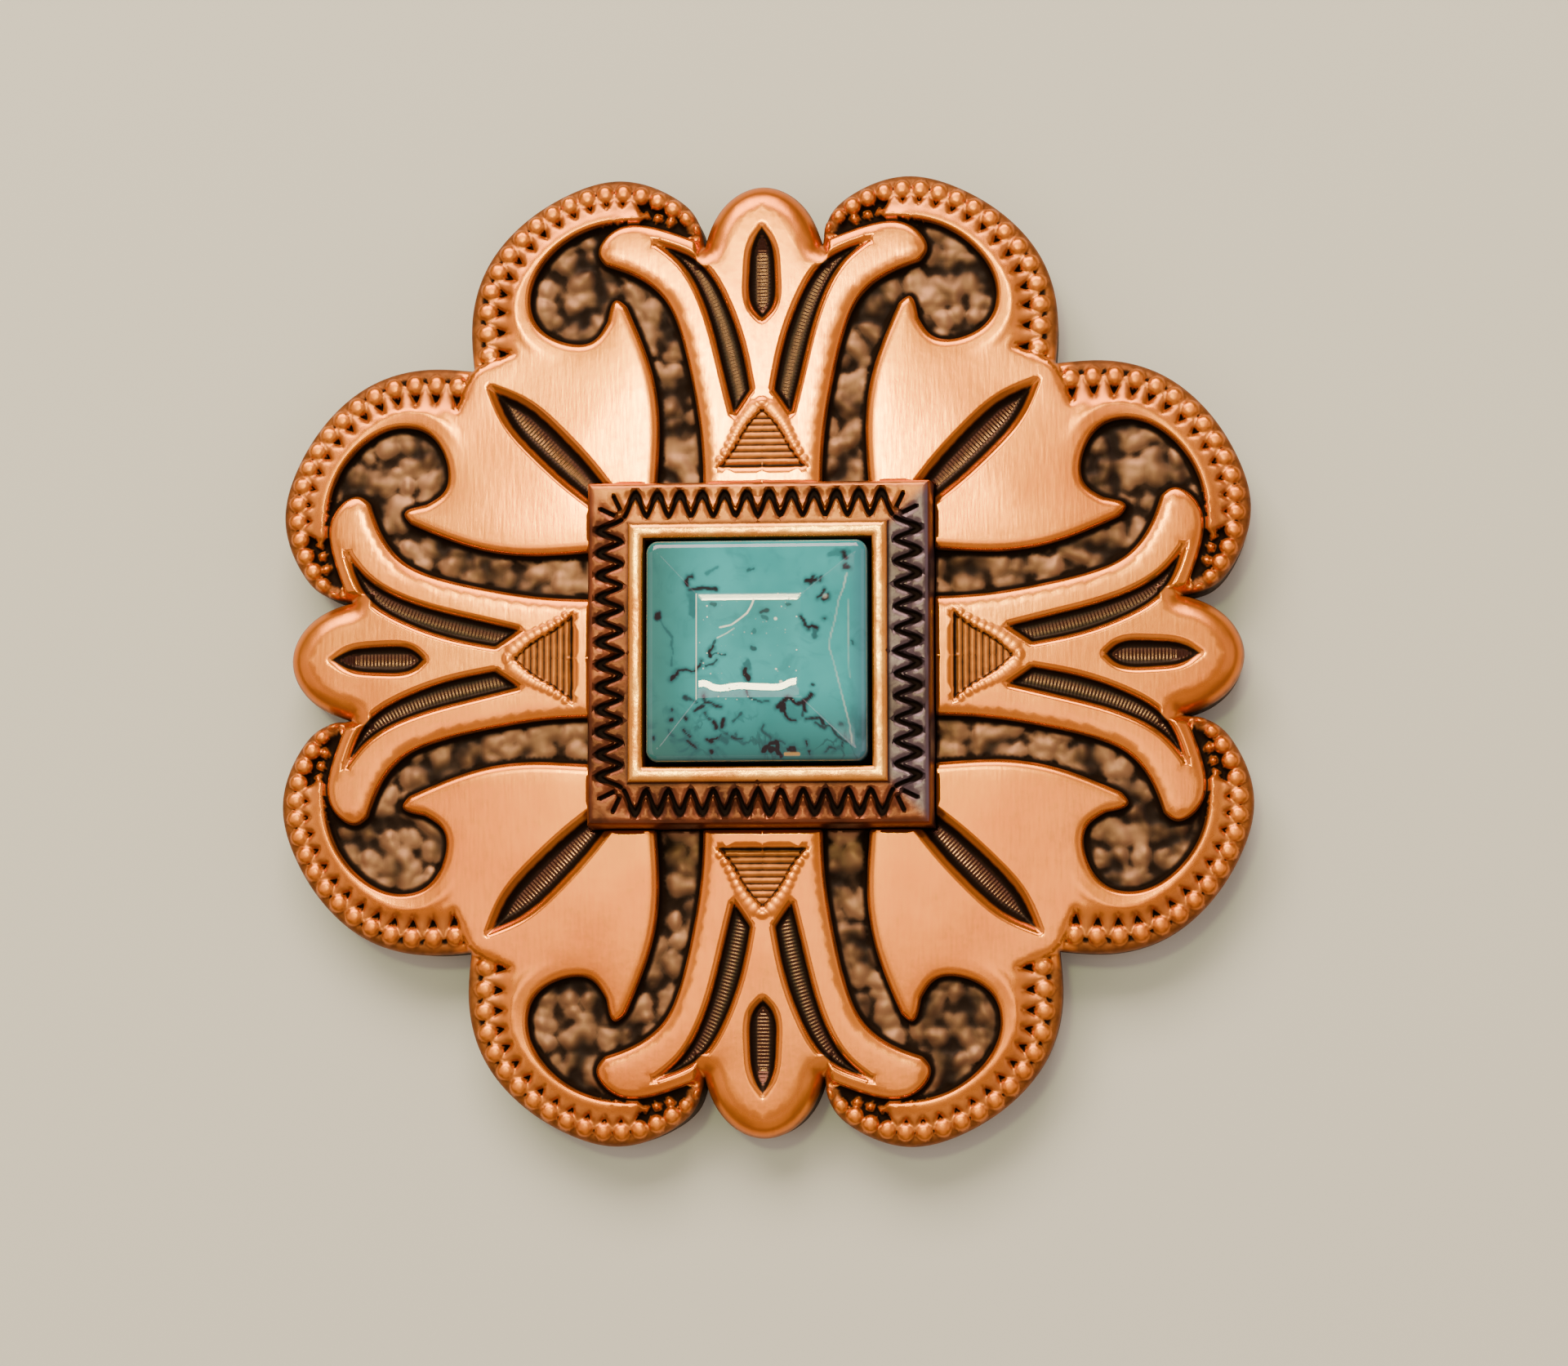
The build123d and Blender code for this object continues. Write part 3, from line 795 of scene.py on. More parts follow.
def copper():
    """Antiqued copper plate: brushed bright heights, brown pebbled floors, black in the recesses from dirt
    and painted shade.
    """
    m, t = material("antiqued_copper")
    place = node(t, "ShaderNodeTexCoord").outputs["Object"]
    dirt_and_shade = attribute(t, "dirt_and_shade")
    pebbled = attribute(t, "pebbled")
    tone = attribute(t, "tone")
    cloudy = noise(t, place, .22, 4.0)
    fine = noise(t, place, 2.6, 3.0)
    metal = mix(t, spread(t, cloudy, .32, .68), "#D47026", "#E8822C")
    patina = attribute(t, "patina")
    grooved = attribute(t, "grooved")
    along = attribute(t, "along")
    blotch = noise(t, place, .24, 5.0, Roughness=.6)
    worn = calc(t, "MAXIMUM", times(t, patina, .55), times(t, spread(t, blotch, .45, .75), .25))
    stretch = node(t, "ShaderNodeMapping", None, Vector=place, Rotation=(0, 0, .6), Scale=(8, 1, 1))
    brush = noise(t, stretch.outputs[0], .9, 4.0)
    streak = less(t, brush, .5)
    metal = layered(t, metal, (plus(t, .12, times(t, streak, .45), True), "#B05E22"), (worn, "#A86436"))
    floor = mix(t, spread(t, tone, .15, .9), "#231610", "#94674A")
    floor = mix(t, grooved, floor, "#40221A")
    base = mix(t, pebbled, metal, floor)
    # Dirt and painted shade, with fine random grime, turn the colour near black
    grime_and_shade = plus(t, dirt_and_shade, times(t, less(t, fine, .5), .35), True)
    base = mix(t, spread(t, grime_and_shade, .1, .9), base, "#1E120B")
    satin = attribute(t, "satin")
    rough = .17
    for layer, share in ((grime_and_shade, .3), (satin, .14), (less(t, pebbled, grooved, True), .22), (patina, .10),
                         (streak, .08)):
        rough = plus(t, rough, times(t, layer, share), True)
    rough = less(t, rough, times(t, grooved, .06), True)
    hatch = times(t, calc(t, "SINE", times(t, along, 2 * math.pi / .14)), grooved)
    grain = bumps(t, (.10, .02, brush), (.06, .03, fine), (.4, .005, hatch))
    surface(t, Base_Color=base, Roughness=rough, Metallic=less(t, .90, times(t, grime_and_shade, .4), True),
            Specular_IOR_Level=less(t, .5, times(t, grime_and_shade, .45)), **grain)
    return m


# Frame
LIP_IN = 4.42
EDGE = 6.60
FACE = 5.30
LIP_OUT = 5.03
PITCH = 10.38 / 12

# One octant, x >= 0 and y >= x, with its zigzag and corner ray
zig_x = np.arange(0, 5.19 + .01, .02)
phase = zig_x / PITCH
saw = 1 - 2 * abs((phase % 1) - .5)
zig_y = 5.27 + .93 * (.55 * saw + .45 * (.5 - .5 * np.cos(phase * 2 * math.pi)))
zigzag = np.stack([zig_x, zig_y], 1)
stroke = np.array([(5.36, 5.60), (5.60, 6.10)])
corners = [(0, LIP_IN), (LIP_IN, LIP_IN), (EDGE, EDGE), (0, EDGE), (0, LIP_IN)]
cloud = Cloud(np.concatenate([leg(*ends, .10) for ends in zip(corners, corners[1:])]))
for y in (4.47, 4.54, 4.63, 4.72, 4.80, 4.87, 4.93, 4.98, 5.03, 6.42, 6.48, 6.54):
    cloud.fill(at_level(np.arange(0, y + .01, .10), y), .04, .035)
cloud.fill(rows_beside(zigzag, [0, .05, -.05, .1, -.1, .16, -.16], .07), .042, .04)
cloud.fill(rows_beside(stroke, [0, .05, -.05, .1, -.1], .06), .042, .04)
cloud.fill(hexagons((0, 4.4), (6.6, 6.6), .11), .075)
points = np.array(cloud.points)
faces = triangles(points, [cloud.border])

# Heights, dirt and painted shade, and the bright lip with a painted highlight on its crest
x, y = points.T
d_zig, _ = nearest(points, zigzag)
d_stroke, _ = nearest(points, stroke)
peak = ramp(y, 5.75, 6.15)
wide = .10 + .07 * peak
cut = fall(d_zig, wide * .25, wide * 1.25) * (.22 + .04 * peak)
cut = np.maximum(cut, fall(d_stroke, .03, .12) * .20)
z = FACE - cut
for number in range(7):
    rho = np.hypot((x - number * PITCH) / .13, (y - 5.72) / .20)
    z += .05 * dome(1 - np.clip(rho, 0, 1)) * (d_zig > .1)
z -= .18 * (1 - dome((EDGE - y) / .22))
crown = .45 * (ramp(LIP_OUT - y, 0, .05) * .72 + .28 * dome((5.0 - y) / .24) * dome((y - LIP_IN + .03) / .22))
z = np.where(y < LIP_OUT, FACE + crown, z)
dirt_and_shade = np.maximum(fall(d_zig, wide * .55, wide * 1.25), fall(d_stroke, .05, .12))
# Painted shade in the crease at the foot of the lip
dirt_and_shade = np.maximum(dirt_and_shade, .55 * fall(abs(y - 5.05), .0, .09))
# The lip's own brighter colour, and a painted highlight along the middle of its crest
gold_and_highlight = fall(y, 4.97, LIP_OUT) * (.5 + .5 * fall(abs(y - 4.70), .08, .27))
values = np.stack([z, dirt_and_shade, gold_and_highlight], 1)

# The whole sheet, then its outer wall and foot, its cup for the stone
points, faces, values = eightfold(points, faces, values)
z, dirt_and_shade, gold_and_highlight = values.T
z = z + .012 * waves(points, .8, 12) + .006 * waves(points, .3, 13)
shell = Shell(np.column_stack([points, z]), faces, np.stack([dirt_and_shade, gold_and_highlight], 1))
outer = rim_from(points, faces, EDGE)
inner = rim_from(points, faces, LIP_IN)
oxy = points[outer]
ring = outer
# The outer wall a little darker as painted shade
for half, level, value in ((6.625, 4.95, (.1, 0)), (6.71, 2.60, (.3, 0)), (6.68, 2.53, (.3, 0))):
    ring = shell.ring(ring, at_level(oxy * half / EDGE, level), value)
unit = directions(oxy)
for level in (2.53, 3.05):
    ring = shell.ring(ring, at_level(unit * HOLE, level), (.3, 0))
shell.close(ring, (.3, 0))
ring = inner
# The cup's walls darkened to black as painted shade in the gap round the stone
for level, value in ((5.50, (.2, .6)), (3.68, (1, 0))):
    ring = shell.ring(ring, at_level(points[inner] * 4.40 / LIP_IN, level), value)
shell.close(ring, (1, 0))
mount = shell.build("setting_frame_cast", ["dirt_and_shade", "gold_and_highlight"])


# Stone


def rounded_square(half, corner, count, shift=(0, 0)):
    """A square ring with round corners, count points to a side, started at the lower right corner."""
    ring = []
    flat = half - corner
    for c, s in ((1, 0), (0, 1), (-1, 0), (0, -1)):
        for i in range(count):
            x, y = half, half * (2 * i / count - 1)
            if abs(y) > flat + 1e-9:
                a = math.copysign((abs(y) - flat) / corner * math.pi / 4, y)
                x, y = flat + corner * math.cos(a), math.copysign(flat, y) + corner * math.sin(a)
            ring.append((x * c - y * s + shift[0], x * s + y * c + shift[1]))
    return np.array(ring)


TABLE = (-.24, .14)  # middle of the stone's table
TABLE_HALF = 2.05
FLAT_HALF = 1.79  # the table inside its upper bevel
CROWN_TOP = 6.29
BEVEL_SLOPE = .044
TABLE_TOP = CROWN_TOP + (TABLE_HALF - FLAT_HALF) * BEVEL_SLOPE
STEPS = 160  # points to a side
PROFILE = [(TABLE_HALF, CROWN_TOP), (2.60, 6.246), (3.10, 6.206), (3.50, 6.174), (3.80, 6.149),
           (3.95, 6.133), (4.07, 6.105), (4.15, 6.062), (4.20, 6.005), (4.235, 5.92), (4.25, 5.80)]
WAVE = [(-2.33, -1.24), (-2.00, -1.20), (-1.75, -1.32), (-1.45, -1.38), (-.90, -1.31), (.00, -1.33),
        (.50, -1.35), (.95, -1.31), (1.25, -1.17), (1.53, -1.12)]
# Veins, spots and scratches: width, strength, then x and y of each point of the stroke
VEINS = [
    (.1, .9, -2.5, 2.92, -2.68, 2.9, -2.78, 2.75, -2.7, 2.6),
    (.1, .8, -2.62, 2.42, -2.4, 2.42, -2.1, 2.45, -1.6, 2.44),
    (.3, .3, -2.45, 2.38, -2.55, 2.2, -2.5, 1.5),
    (.1, .3, -2, 3.05, -1.55, 3.25),
    (.12, .4, -.35, 3.12, -.15, 3.18),
    (.2, .9, -3.85, 1.5, -3.85, 1.38),
    (.07, .35, -3.75, 1.25, -3.5, .9, -3.3, .6, -3.28, 0, -3.3, -.5),
    (.11, .9, 1.85, 2.7, 2, 2.68, 2.1, 2.72, 2.25, 2.75),
    (.08, .8, 2.12, 2.9, 2.05, 2.62),
    (.07, .7, 2.42, 2.86, 2.42, 2.72),
    (.18, .9, 3.3, 3.75, 3.35, 3.62),
    (.12, .8, 3.35, 3.35, 3.3, 3.2, 3.5, 3.22),
    (.3, .3, 2.8, 3.75, 3.4, 3.8),
    (.07, .8, 2.3, 2.05, 2.45, 2.15, 2.55, 2.38),
    (.08, .9, 2.53, 2, 2.68, 2.05, 2.7, 2.2),
    (.12, .6, .15, 1.5, .25, 1.58, .35, 1.6),
    (.15, .35, .2, 1.35, .35, 1.28),
    (.06, .8, 1.65, 1.35, 1.72, 1.2, 1.82, 1, 1.93, .9),
    (.12, .9, 1.93, .9, 2.1, .98, 2.25, .9),
    (.2, .4, 2.15, .85, 2.2, .6),
    (.07, .7, 2.54, 1.28, 2.56, 1.27),
    (.12, .9, -1.72, .2, -1.85, .05, -1.83, -.1),
    (.07, .5, -1.65, .45, -1.75, .2),
    (.08, .5, -1.85, -.1, -1.6, -.05, -1.25, -.1),
    (.15, .45, -.2, .2, -.15, .13),
    (.08, .5, 3.6, .4, 3.62, .3),
    (.1, .3, -.1, .9, -.2, .75),
    (.14, .4, -1.75, 1.85, -1.65, 1.8),
    (.12, .4, 1.15, 1.78, 1.25, 1.82),
    (.14, .95, -3.1, -.75, -3.2, -.9, -3.35, -1.05),
    (.05, .8, -3.1, -.72, -2.9, -.65, -2.7, -.68, -2.55, -.72, -2.4, -.68, -2.2, -.5, -2.13, -.3),
    (.05, .6, -2, -.52, -1.85, -.5, -1.65, -.4, -1.55, -.3),
    (.15, 1, -.5, -.65, -.5, -.8, -.4, -.95, -.33, -1.05),
    (.3, .35, -.42, -.4, -.4, -1.1),
    (.04, .6, -.45, -1.5, -.3, -1.75, 0, -1.88, .4, -1.92),
    (.12, .7, -2.8, -1.71, -2.74, -1.73),
    (.05, .6, -2.75, -1.72, -2.5, -1.8, -2.3, -1.9),
    (.06, .8, -2.05, -1.65, -2.02, -1.9, -1.8, -1.95, -1.6, -2.05, -1.4, -2.1),
    (.07, .8, -2.1, -2.03, -2.3, -2.15, -2.42, -2.25),
    (.08, .8, -3.31, -2.17, -3.29, -2.23),
    (.1, .9, -3.4, -2.58, -3.25, -2.55),
    (.12, .9, -2.77, -2.49, -2.73, -2.51),
    (.05, .7, -2, -2.3, -1.92, -2.5, -1.8, -2.6),
    (.11, .95, -1.7, -2.66, -1.58, -2.86),
    (.1, .95, -1.32, -2.6, -1.38, -2.85),
    (.07, .5, -.95, -2.65, -.8, -2.5, -.65, -2.35),
    (.05, .6, .2, -2.8, .1, -2.95, .25, -3.1, .45, -3.25, .45, -3.45),
    (.1, .95, .75, -2.1, .9, -2, 1, -1.85, 1.15, -1.78, 1.3, -1.85, 1.45, -1.97, 1.65, -2, 1.8, -1.9,
     1.95, -1.75, 2.05, -1.65),
    (.22, 1, .92, -2, .96, -2.14),
    (.06, .9, .98, -2.2, 1.05, -2.4, 1.2, -2.55, 1.45, -2.62),
    (.55, .22, 1.1, -2.1, 1.5, -2.4),
    (.09, .9, 1.78, -2, 1.8, -2.25),
    (.05, .6, 1.75, -2.3, 1.7, -2.5),
    (.05, .8, 1.85, -2.6, 2.1, -2.55, 2.3, -2.5, 2.45, -2.65, 2.5, -2.8),
    (.06, .7, 2.2, -2.7, 2.5, -2.9, 2.7, -2.8, 2.85, -3, 3, -3.15, 3.2, -3.35, 3.4, -3.45),
    (.05, .8, 3.2, -3.45, 3.2, -3.6),
    (.1, .6, 3.15, -2.78, 3.25, -2.8),
    (.06, .7, 2.09, -1.28, 2.11, -1.29),
    (.1, .9, -2.85, -2.95, -2.7, -3.1, -2.6, -3.22),
    (.05, .6, -3.45, -2.95, -3.4, -3.1, -3.2, -3.2),
    (.07, .9, -2.75, -3.35, -2.5, -3.5, -2.35, -3.7),
    (.11, .95, -1.95, -3.32, -1.8, -3.42, -1.75, -3.4),
    (.07, .9, -1.85, -3.35, -1.6, -3.25),
    (.14, .95, -1.81, -3.77, -1.79, -3.79),
    (.06, .6, -1.55, -3.35, -1.4, -3.15, -1.2, -3.1),
    (.22, .45, -1.4, -3.3, -1.2, -3.45),
    (.1, .75, -1, -3.2, -.8, -3.3, -.6, -3.32),
    (.05, .5, -.85, -3.1, -.75, -3.3, -.5, -3.5),
    (.17, 1, .22, -3.8, .3, -3.6, .5, -3.5, .65, -3.45, .75, -3.6, .7, -3.8, .85, -3.95),
    (.22, 1, .5, -3.68, .6, -3.72),
    (.05, .7, .8, -3.4, 1, -3.5),
    (.08, .9, 1.2, -3.65, 1.4, -3.62, 1.42, -3.8, 1.15, -3.76),
    (.06, .8, 1.85, -3.4, 1.87, -3.6),
    (.07, .8, 1.95, -3.8, 1.98, -3.95),
    (.05, .7, 2.55, -3.85, 2.7, -3.65, 3, -3.7),
    (.1, .8, -4, -3.2, -4, -3.3)]
SCRATCHES = [
    (.045, .75, -.15, 2, -.25, 1.75, -.4, 1.5, -.65, 1.3, -1, 1.05, -1.45, .95),
    (.04, .3, -.9, .92, -1.2, .72, -1.55, .55),
    (.05, .4, 3.4, 3, 3.28, 2.45),
    (.045, .3, 3.28, 2.45, 3.1, 2, 2.95, 1.2, 2.78, .6, 2.72, .2, 2.9, -.4, 3.1, -1.2, 3.3, -2, 3.5, -2.8,
     3.6, -3.5),
    (.04, .2, 3.48, 2, 3.45, .4, 3.5, -1),
    (.08, .9, .68, 1.27, .7, 1.27),
    (.05, .9, .7, -.66, .71, -.66),
    (.08, .8, .88, -1.14, .9, -1.14),
    (.14, .45, 2.57, 2.12, 2.59, 2.13)]
SHIFT = np.array((.075, -.084))

fine = spline(PROFILE, .05, 1)[::-1]
rings = [(4.15, .40, 3.72), (4.25, .45, 3.80), (4.25, .45, 4.80)]
rings += [(h, .45 * max(0, (h - 3.7) / .55) ** .5, z) for h, z in fine]

# Rings from the foot up, then a grid over the table
first = ring = list(range(4 * STEPS))
for number, (h, round_off, z) in enumerate(rings):
    part = min(1, (h - TABLE_HALF) / 1.75)
    row = at_level(rounded_square(h, round_off, STEPS, np.array(TABLE) * (1 - part)), z)
    if number:
        ring = shell.ring(ring, row, (0,))
    else:
        shell = Shell(row, [], [(0,)] * len(row))
for h in np.linspace(1.99, FLAT_HALF, 5):
    xy = rounded_square(h, 0, STEPS, TABLE)
    upper = xy[:, 1] - TABLE[1] > abs(xy[:, 0] - TABLE[0]) - 1e-6
    height = np.where(upper, CROWN_TOP + (TABLE_HALF - h) * BEVEL_SLOPE, TABLE_TOP)
    ring = shell.ring(ring, np.column_stack([xy, height]), (0,))
pitch = 2 * FLAT_HALF / STEPS
corner = np.array(TABLE) - FLAT_HALF
grid = {tuple(np.round((np.array(shell.points[number][:2]) - corner) / pitch).astype(int)): number
        for number in ring}
for i, j in np.ndindex(STEPS + 1, STEPS + 1):
    if (i, j) not in grid:
        grid[i, j] = len(shell.points)
        shell.points.append((corner[0] + pitch * i, corner[1] + pitch * j, TABLE_TOP))
shell.faces += [(grid[i, j], grid[i, j + 1], grid[i + 1, j + 1], grid[i + 1, j])
                for i, j in np.ndindex(STEPS, STEPS)]
shell.faces = [f[::-1] for f in shell.faces]
shell.close(first, (0,))

# Veins, scratches and the brass fleck
points = np.array(shell.points)
p = points[:, :2]
px, py = p.T
bent = (p + .035 * np.stack([waves(p, .22, 41), waves(p, .22, 42)], 1)
        + .02 * np.stack([waves(p, .09, 43), waves(p, .09, 44)], 1))
vein = np.zeros(len(p))
for width, strength, *stroke in VEINS:
    away, _ = nearest(bent, np.reshape(stroke, (-1, 2)) + SHIFT)
    ragged = (width + .02) * (.66 + .40 * waves(p, .14, 45))
    vein = np.maximum(vein, strength * fall(away, ragged * .4, ragged * 1.2))
    vein = np.maximum(vein, .45 * strength * fall(away, 0, width * .6 + .20))
scratch = np.zeros(len(p))
for width, strength, *stroke in SCRATCHES:
    away, _ = nearest(p, np.reshape(stroke, (-1, 2)) + SHIFT)
    scratch = np.maximum(scratch, strength * fall(away, width * .3, width * .9)
                         * (.75 + .35 * waves(p, .3, 46)))
away, _ = nearest(p, np.array([(1.06, -3.90), (1.54, -3.90)]) + SHIFT)
fleck = fall(away, .04, .08)

# The low wavy step across the table
wave = spline(np.array(WAVE) + SHIFT, .05, 1)
away, _ = nearest(p, wave)
above = np.interp(px, wave[:, 0], wave[:, 1])
off = np.where(py > above, away, -away)
swell = np.where(off > -.13, np.clip(.5 - off / .26, 0, 1), fall(-off, .13, .55))
ends = ramp(px, wave[0, 0] - .05, wave[0, 0] + .02)
ends *= fall(px, wave[-1, 0] - .02, wave[-1, 0] + .05)
points[:, 2] += .0115 * swell * ends * (points[:, 2] > 6.2)
shell.points = [tuple(q) for q in points]
top_only = (points[:, 2] > 5.9).astype(float)
shell.values = [tuple(q) for q in np.stack([vein * top_only, scratch * top_only, fleck * top_only], 1)]
gem = shell.build("turquoise_stone", ["vein", "scratch", "fleck"])


# Post
POST, SPIGOT, MOUTH, BORE = 3.175, 2.60, 1.85, 1.73  # radii
POST_LOW, POST_HIGH, SPIGOT_RISE = .30, 1.61, 1.40
MOUTH_DEPTH, BORE_DEPTH = .12, 2.04
bpy.ops.mesh.primitive_cylinder_add(vertices=96, radius=POST * MM, depth=(POST_HIGH - POST_LOW) * MM,
                                    location=(0, 0, (POST_LOW + POST_HIGH) / 2 * MM))
post = bpy.context.active_object
post.name = "screw_post_turned"
bpy.ops.object.transform_apply(location=True)
bpy.ops.object.mode_set(mode="EDIT")
bpy.ops.mesh.select_mode(type="FACE")


def pick(side):
    """Select the faces that look up, or down for -1."""
    bpy.ops.mesh.select_all(action="DESELECT")
    bpy.ops.object.mode_set(mode="OBJECT")
    for f in post.data.polygons:
        f.select = f.normal.z * side > .9
    bpy.ops.object.mode_set(mode="EDIT")


def extrude(rise):
    """Push the picked faces up by millimetres."""
    bpy.ops.mesh.extrude_region_move(TRANSFORM_OT_translate={"value": (0, 0, rise * MM)})


for side, radius, rise in ((1, SPIGOT, SPIGOT_RISE), (-1, MOUTH, MOUTH_DEPTH)):
    pick(side)
    bpy.ops.mesh.inset(thickness=(POST - radius) * MM)
    extrude(rise)
bpy.ops.transform.resize(value=(BORE / MOUTH, BORE / MOUTH, 1))
extrude(BORE_DEPTH)
bpy.ops.object.mode_set(mode="OBJECT")

# Smooth shading, with edges kept where they turn by more than so many degrees
for o, sharp in ((body, None), (mount, 30), (gem, 20), (post, 35)):
    for other in bpy.context.view_layer.objects:
        other.select_set(other == o)
    bpy.context.view_layer.objects.active = o
    if sharp:
        bpy.ops.object.shade_smooth_by_angle(angle=math.radians(sharp))
    else:
        bpy.ops.object.shade_smooth()


def frame_copper():
    """Copper of the frame: redder brown to the left and bottom, a lighter orange top as painted light, violet
    tarnish to the right, bright lip with a painted highlight on its crest.
    """
    m, t = material("tarnished_copper")
    place = node(t, "ShaderNodeTexCoord").outputs["Object"]
    axes = node(t, "ShaderNodeSeparateXYZ", None, Vector=place).outputs
    dirt_and_shade = attribute(t, "dirt_and_shade")
    gold_and_highlight = attribute(t, "gold_and_highlight")
    cloudy = noise(t, place, .5, 5.0)
    fine = noise(t, place, 4, 3.0)
    base = mix(t, spread(t, cloudy, .3, .7), "#4A2414", "#83442A")
    # The top strip lighter orange as painted light, the right one violet tarnish
    for one, other, low, high, dark_tint, light_tint in ((1, 0, -.4, .6, "#8A4B24", "#B86A32"),
                                                         (0, 1, -.3, .5, "#4A383A", "#64505A")):
        side = less(t, axes[one], calc(t, "ABSOLUTE", axes[other]))
        tint = mix(t, spread(t, cloudy, .3, .7), dark_tint, light_tint)
        base = mix(t, spread(t, side, low * MM, high * MM), base, tint)
    bright = mix(t, spread(t, cloudy, .35, .65), "#DC8432", "#FFB050")
    # Dirt and painted shade, with fine random grime, turn the colour near black
    grime_and_shade = plus(t, dirt_and_shade, times(t, less(t, fine, .5), .4), True)
    base = layered(t, base, (spread(t, gold_and_highlight, 0, .5), "#B4682A"), (spread(t, gold_and_highlight, .4, 1.0), bright),
                   (spread(t, grime_and_shade, .15, .9), "#170D08"))
    rough = plus(t, .32, times(t, grime_and_shade, .35), True)
    rough = less(t, rough, times(t, gold_and_highlight, .10))
    grain = bumps(t, (.35, .05, cloudy), (.3, .03, fine))
    surface(t, Base_Color=base, Roughness=rough, Metallic=less(t, .85, times(t, grime_and_shade, .6), True),
            Specular_IOR_Level=less(t, .5, times(t, grime_and_shade, .45)), **grain)
    return m


def turquoise():
    """Polished turquoise: blue-green ground, dark teal and black veins, pale scratches, one brass fleck;
    painted shade to the bottom and left, a painted reflection down the right, a painted highlight on the
    table's left edge.
    """
    m, t = material("polished_turquoise")
    place = node(t, "ShaderNodeTexCoord").outputs["Object"]
    x, y, _ = node(t, "ShaderNodeSeparateXYZ", None, Vector=place).outputs
    soft = noise(t, place, .35, 3.0)
    cloud = noise(t, place, .9, 5.0, Distortion=1.0)
    # Painted shade: darker towards the bottom, which also thickens the smoke and threads there
    low = spread(t, times(t, y, -1.0), .0010, .0044)
    # Painted reflection: a blue-grey band down the right side
    right = spread(t, x, .0034, .0041)
    # Painted shade: darker towards the left side
    left = spread(t, times(t, x, -1.0), .0014, .0043)
    smoke = times(t, spread(t, cloud, .52, .75), plus(t, .35, low))
    thread = calc(t, "ABSOLUTE", less(t, noise(t, place, .62, 4.0, Distortion=.6), .5))
    thread = times(t, less(t, 1.0, spread(t, thread, .006, .030)), times(t, low, spread(t, soft, .42, .6)))
    vein = attribute(t, "vein")
    base = layered(t, mix(t, spread(t, soft, .3, .7), "#1E8A92", "#32A0AA"),
                   (times(t, low, .88), "#184C4E"), (times(t, right, .55), "#3A5E74"),
                   (times(t, left, .80), "#2A5E5C"), (times(t, smoke, .85), "#114A52"),
                   (times(t, thread, .75), "#0C3A42"), (spread(t, vein, 0, .50), "#124C54"),
                   (spread(t, vein, .4, .9), "#050F12"))
    scratch = attribute(t, "scratch")
    fleck = attribute(t, "fleck")
    dots = node(t, "ShaderNodeTexVoronoi", None, Vector=place, Scale=7000.0)
    chance = node(t, "ShaderNodeSeparateColor", None, Color=dots.outputs["Color"]).outputs[0]
    dust = times(t, less(t, 1.0, spread(t, dots.outputs["Distance"], .12, .3)), spread(t, chance, .80, .95))
    across = calc(t, "ABSOLUTE", less(t, x, TABLE[0] * MM))
    up_down = calc(t, "ABSOLUTE", less(t, y, TABLE[1] * MM))
    reach = calc(t, "MAXIMUM", across, up_down)
    on_table = less(t, 1.0, spread(t, reach, .00203, .00208))
    near_rim = plus(t, .25, spread(t, reach, .0012, .0020), True)
    dust = times(t, dust, times(t, on_table, near_rim))
    # Painted highlight: a thin pale line down the table's left edge
    from_edge = calc(t, "ABSOLUTE", less(t, across, .00204))
    edge = less(t, 1.0, spread(t, from_edge, .000008, .000030))
    edge = times(t, edge, less(t, .9, spread(t, x, -.001, .001)), True)
    edge = times(t, edge, less(t, 1.0, spread(t, up_down, .00200, .00206)))
    # Pale marks: scratches, dust and the painted highlight of the table's left edge
    pale = calc(t, "MAXIMUM", calc(t, "MAXIMUM", scratch, times(t, dust, .6)), edge)
    base = layered(t, base, (pale, "#E9E4D6"), (fleck, "#D9A86A"))
    rough = plus(t, .045, times(t, pale, .4))
    surface(t, Base_Color=base, Roughness=rough, IOR=1.62, Specular_Tint="#FFD4F2",
            Metallic=times(t, fleck, .8))
    return m


def turned_brass():
    """Turned brass of the post."""
    m, t = material("turned_brass")
    surface(t, Base_Color="#C9A15A", Roughness=.3, Metallic=1.0)
    return m


for o, finish, cad, slot_name in ((body, copper(), "concho_body", "body_metal"),
                                  (mount, frame_copper(), "setting_frame", "frame_metal"),
                                  (gem, turquoise(), "stone", "turquoise"),
                                  (post, turned_brass(), "screw_post", "post_metal")):
    o.data.materials.clear()
    o.data.materials.append(finish)
    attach(o, "root")
    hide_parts(cad)

# Stage
bpy.ops.mesh.primitive_plane_add(size=3, location=(0, 0, 0))
ground = bpy.context.active_object
ground.name = "floor"
pale, tree = material("pale_floor")
surface(tree, Base_Color="#CFCAC3", Roughness=.7)
ground.data.materials.append(pale)


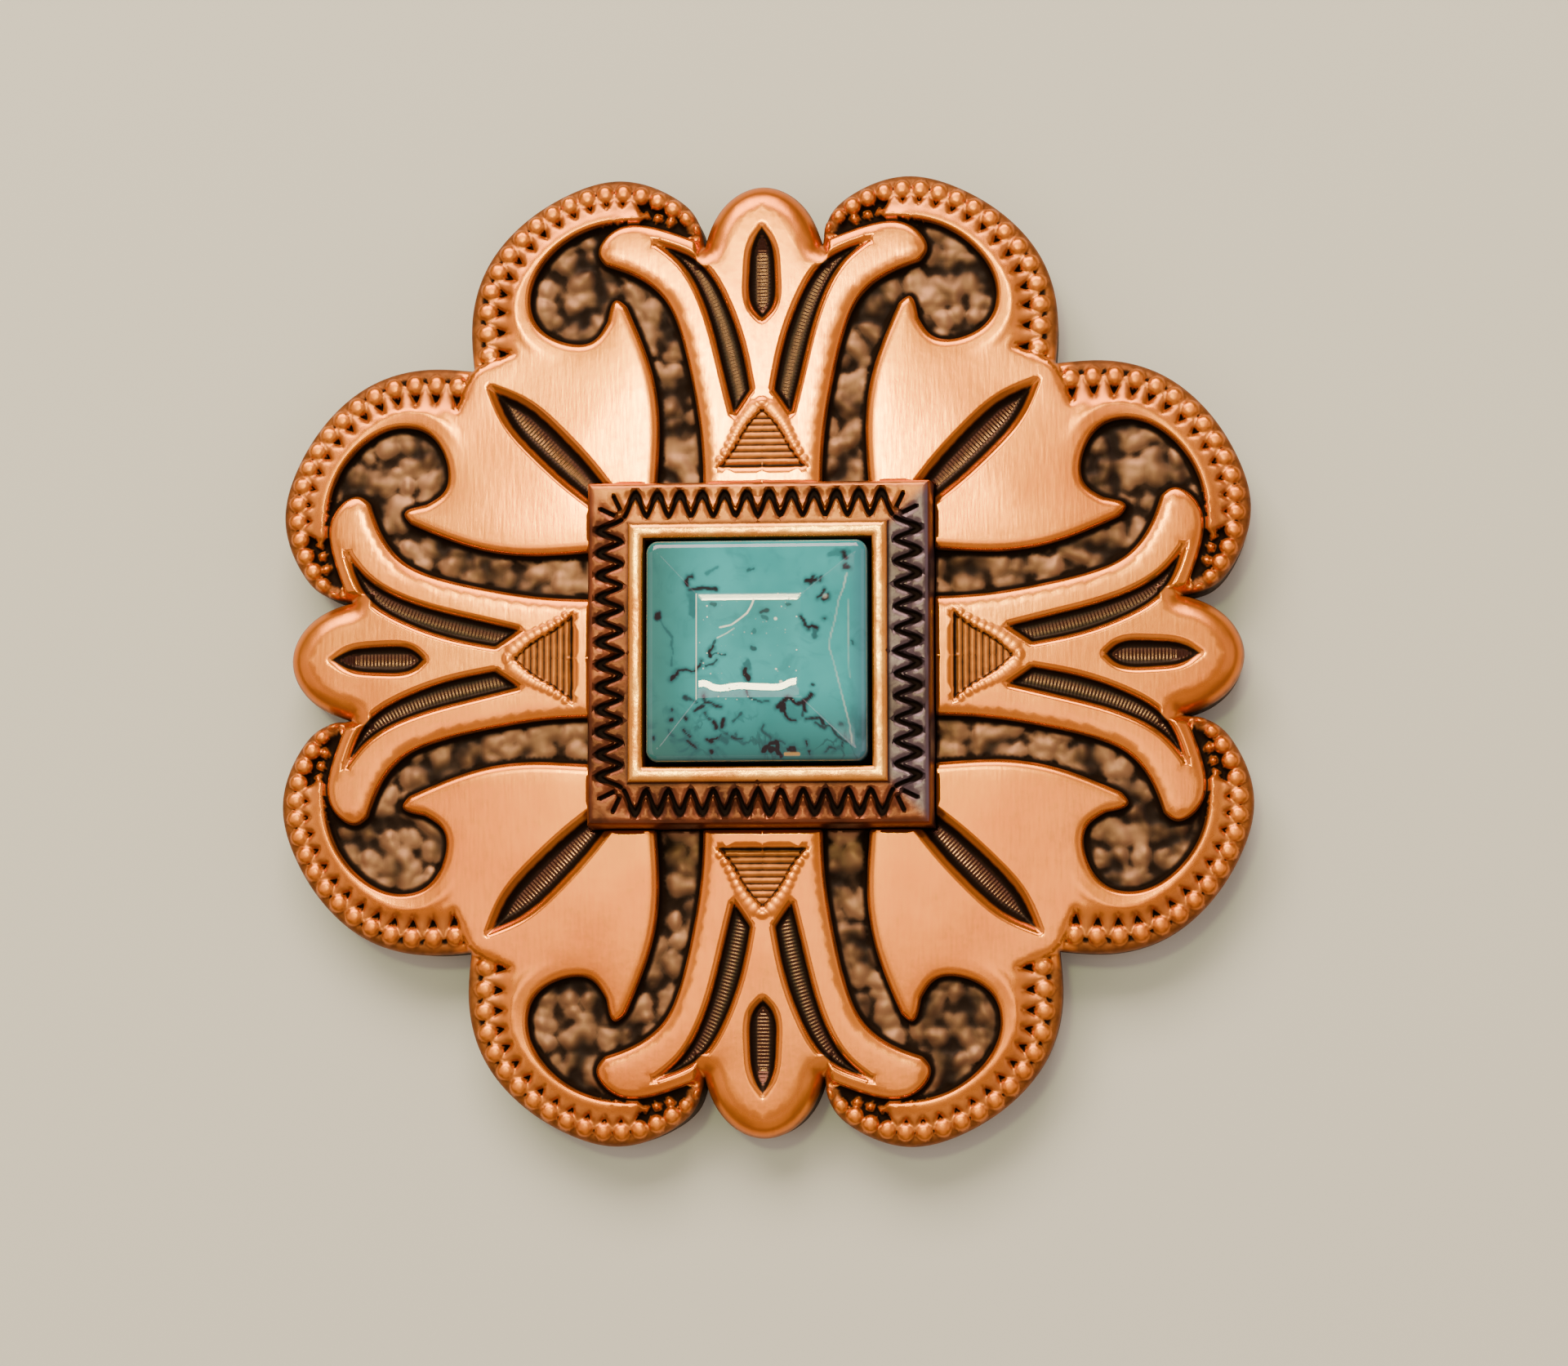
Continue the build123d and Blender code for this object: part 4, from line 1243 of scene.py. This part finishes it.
def softbox(name, place, target, size, watts, tint):
    """A rectangular lamp aimed at a target."""
    data = bpy.data.lights.new(name, "AREA")
    data.shape = "RECTANGLE"
    data.size, data.size_y = size
    data.energy = watts
    data.color = colour(tint)[:3]
    lamp = bpy.data.objects.new(name, data)
    bpy.context.scene.collection.objects.link(lamp)
    lamp.location = place
    lamp.rotation_euler = (Vector(target) - Vector(place)).to_track_quat("-Z", "Y").to_euler()


softbox("key", (-.06, .28, .33), (0, 0, 0), (.34, .22), 3.0, "#FFEFD6")
softbox("overhead", (-.02, .04, .430), (-.02, .04, 0), (.60, .60), .48, "#FFE4C0")
softbox("sheen", (-.0372, .0645, .395), (-.0372, .0645, 0), (.0325, .0258), .315, "#E4FFA6")
softbox("north_panel", (-.0357, .0715, .400), (-.0357, .0715, 0), (.151, .0477), .0450, "#FFF6E2")
softbox("south_panel", (-.0357, .0010, .400), (-.0357, .0010, 0), (.151, .0456), .0680, "#FFF6E2")
softbox("fill_south", (.02, -.29, .27), (0, 0, 0), (.32, .30), .16, "#FFEEDC")
softbox("fill_west", (-.31, -.02, .27), (0, 0, 0), (.30, .30), .25, "#FFEEDC")
softbox("fill_east", (.31, .02, .27), (0, 0, 0), (.30, .30), .28, "#F4E6E8")
world = bpy.data.worlds.new("soft")
bpy.context.scene.world = world
world.use_nodes = True
backdrop = world.node_tree.nodes["Background"]
backdrop.inputs[0].default_value = colour("#F6E6D2")
backdrop.inputs[1].default_value = .32

# The camera fitted to the photo: focal length and width in pixels, place in millimetres
FOCAL, WIDTH, SENSOR = 4839, 1920, 36
eye_at = Vector((13.04, -13.57, 155.9)) * MM
look = Vector((-.0794, .0816, -.9935)).normalized()
up = Vector((.0079, .9967, .0812)).normalized()
right = look.cross(up).normalized()
up = right.cross(look)
view = bpy.data.cameras.new("view")
view.sensor_width = SENSOR
view.lens = FOCAL * SENSOR / WIDTH
camera = bpy.data.objects.new("view", view)
bpy.context.scene.collection.objects.link(camera)
camera.matrix_world = Matrix((
    (right.x, up.x, -look.x, eye_at.x), (right.y, up.y, -look.y, eye_at.y),
    (right.z, up.z, -look.z, eye_at.z), (0, 0, 0, 1)))
view.clip_start = .01
bpy.context.scene.camera = camera
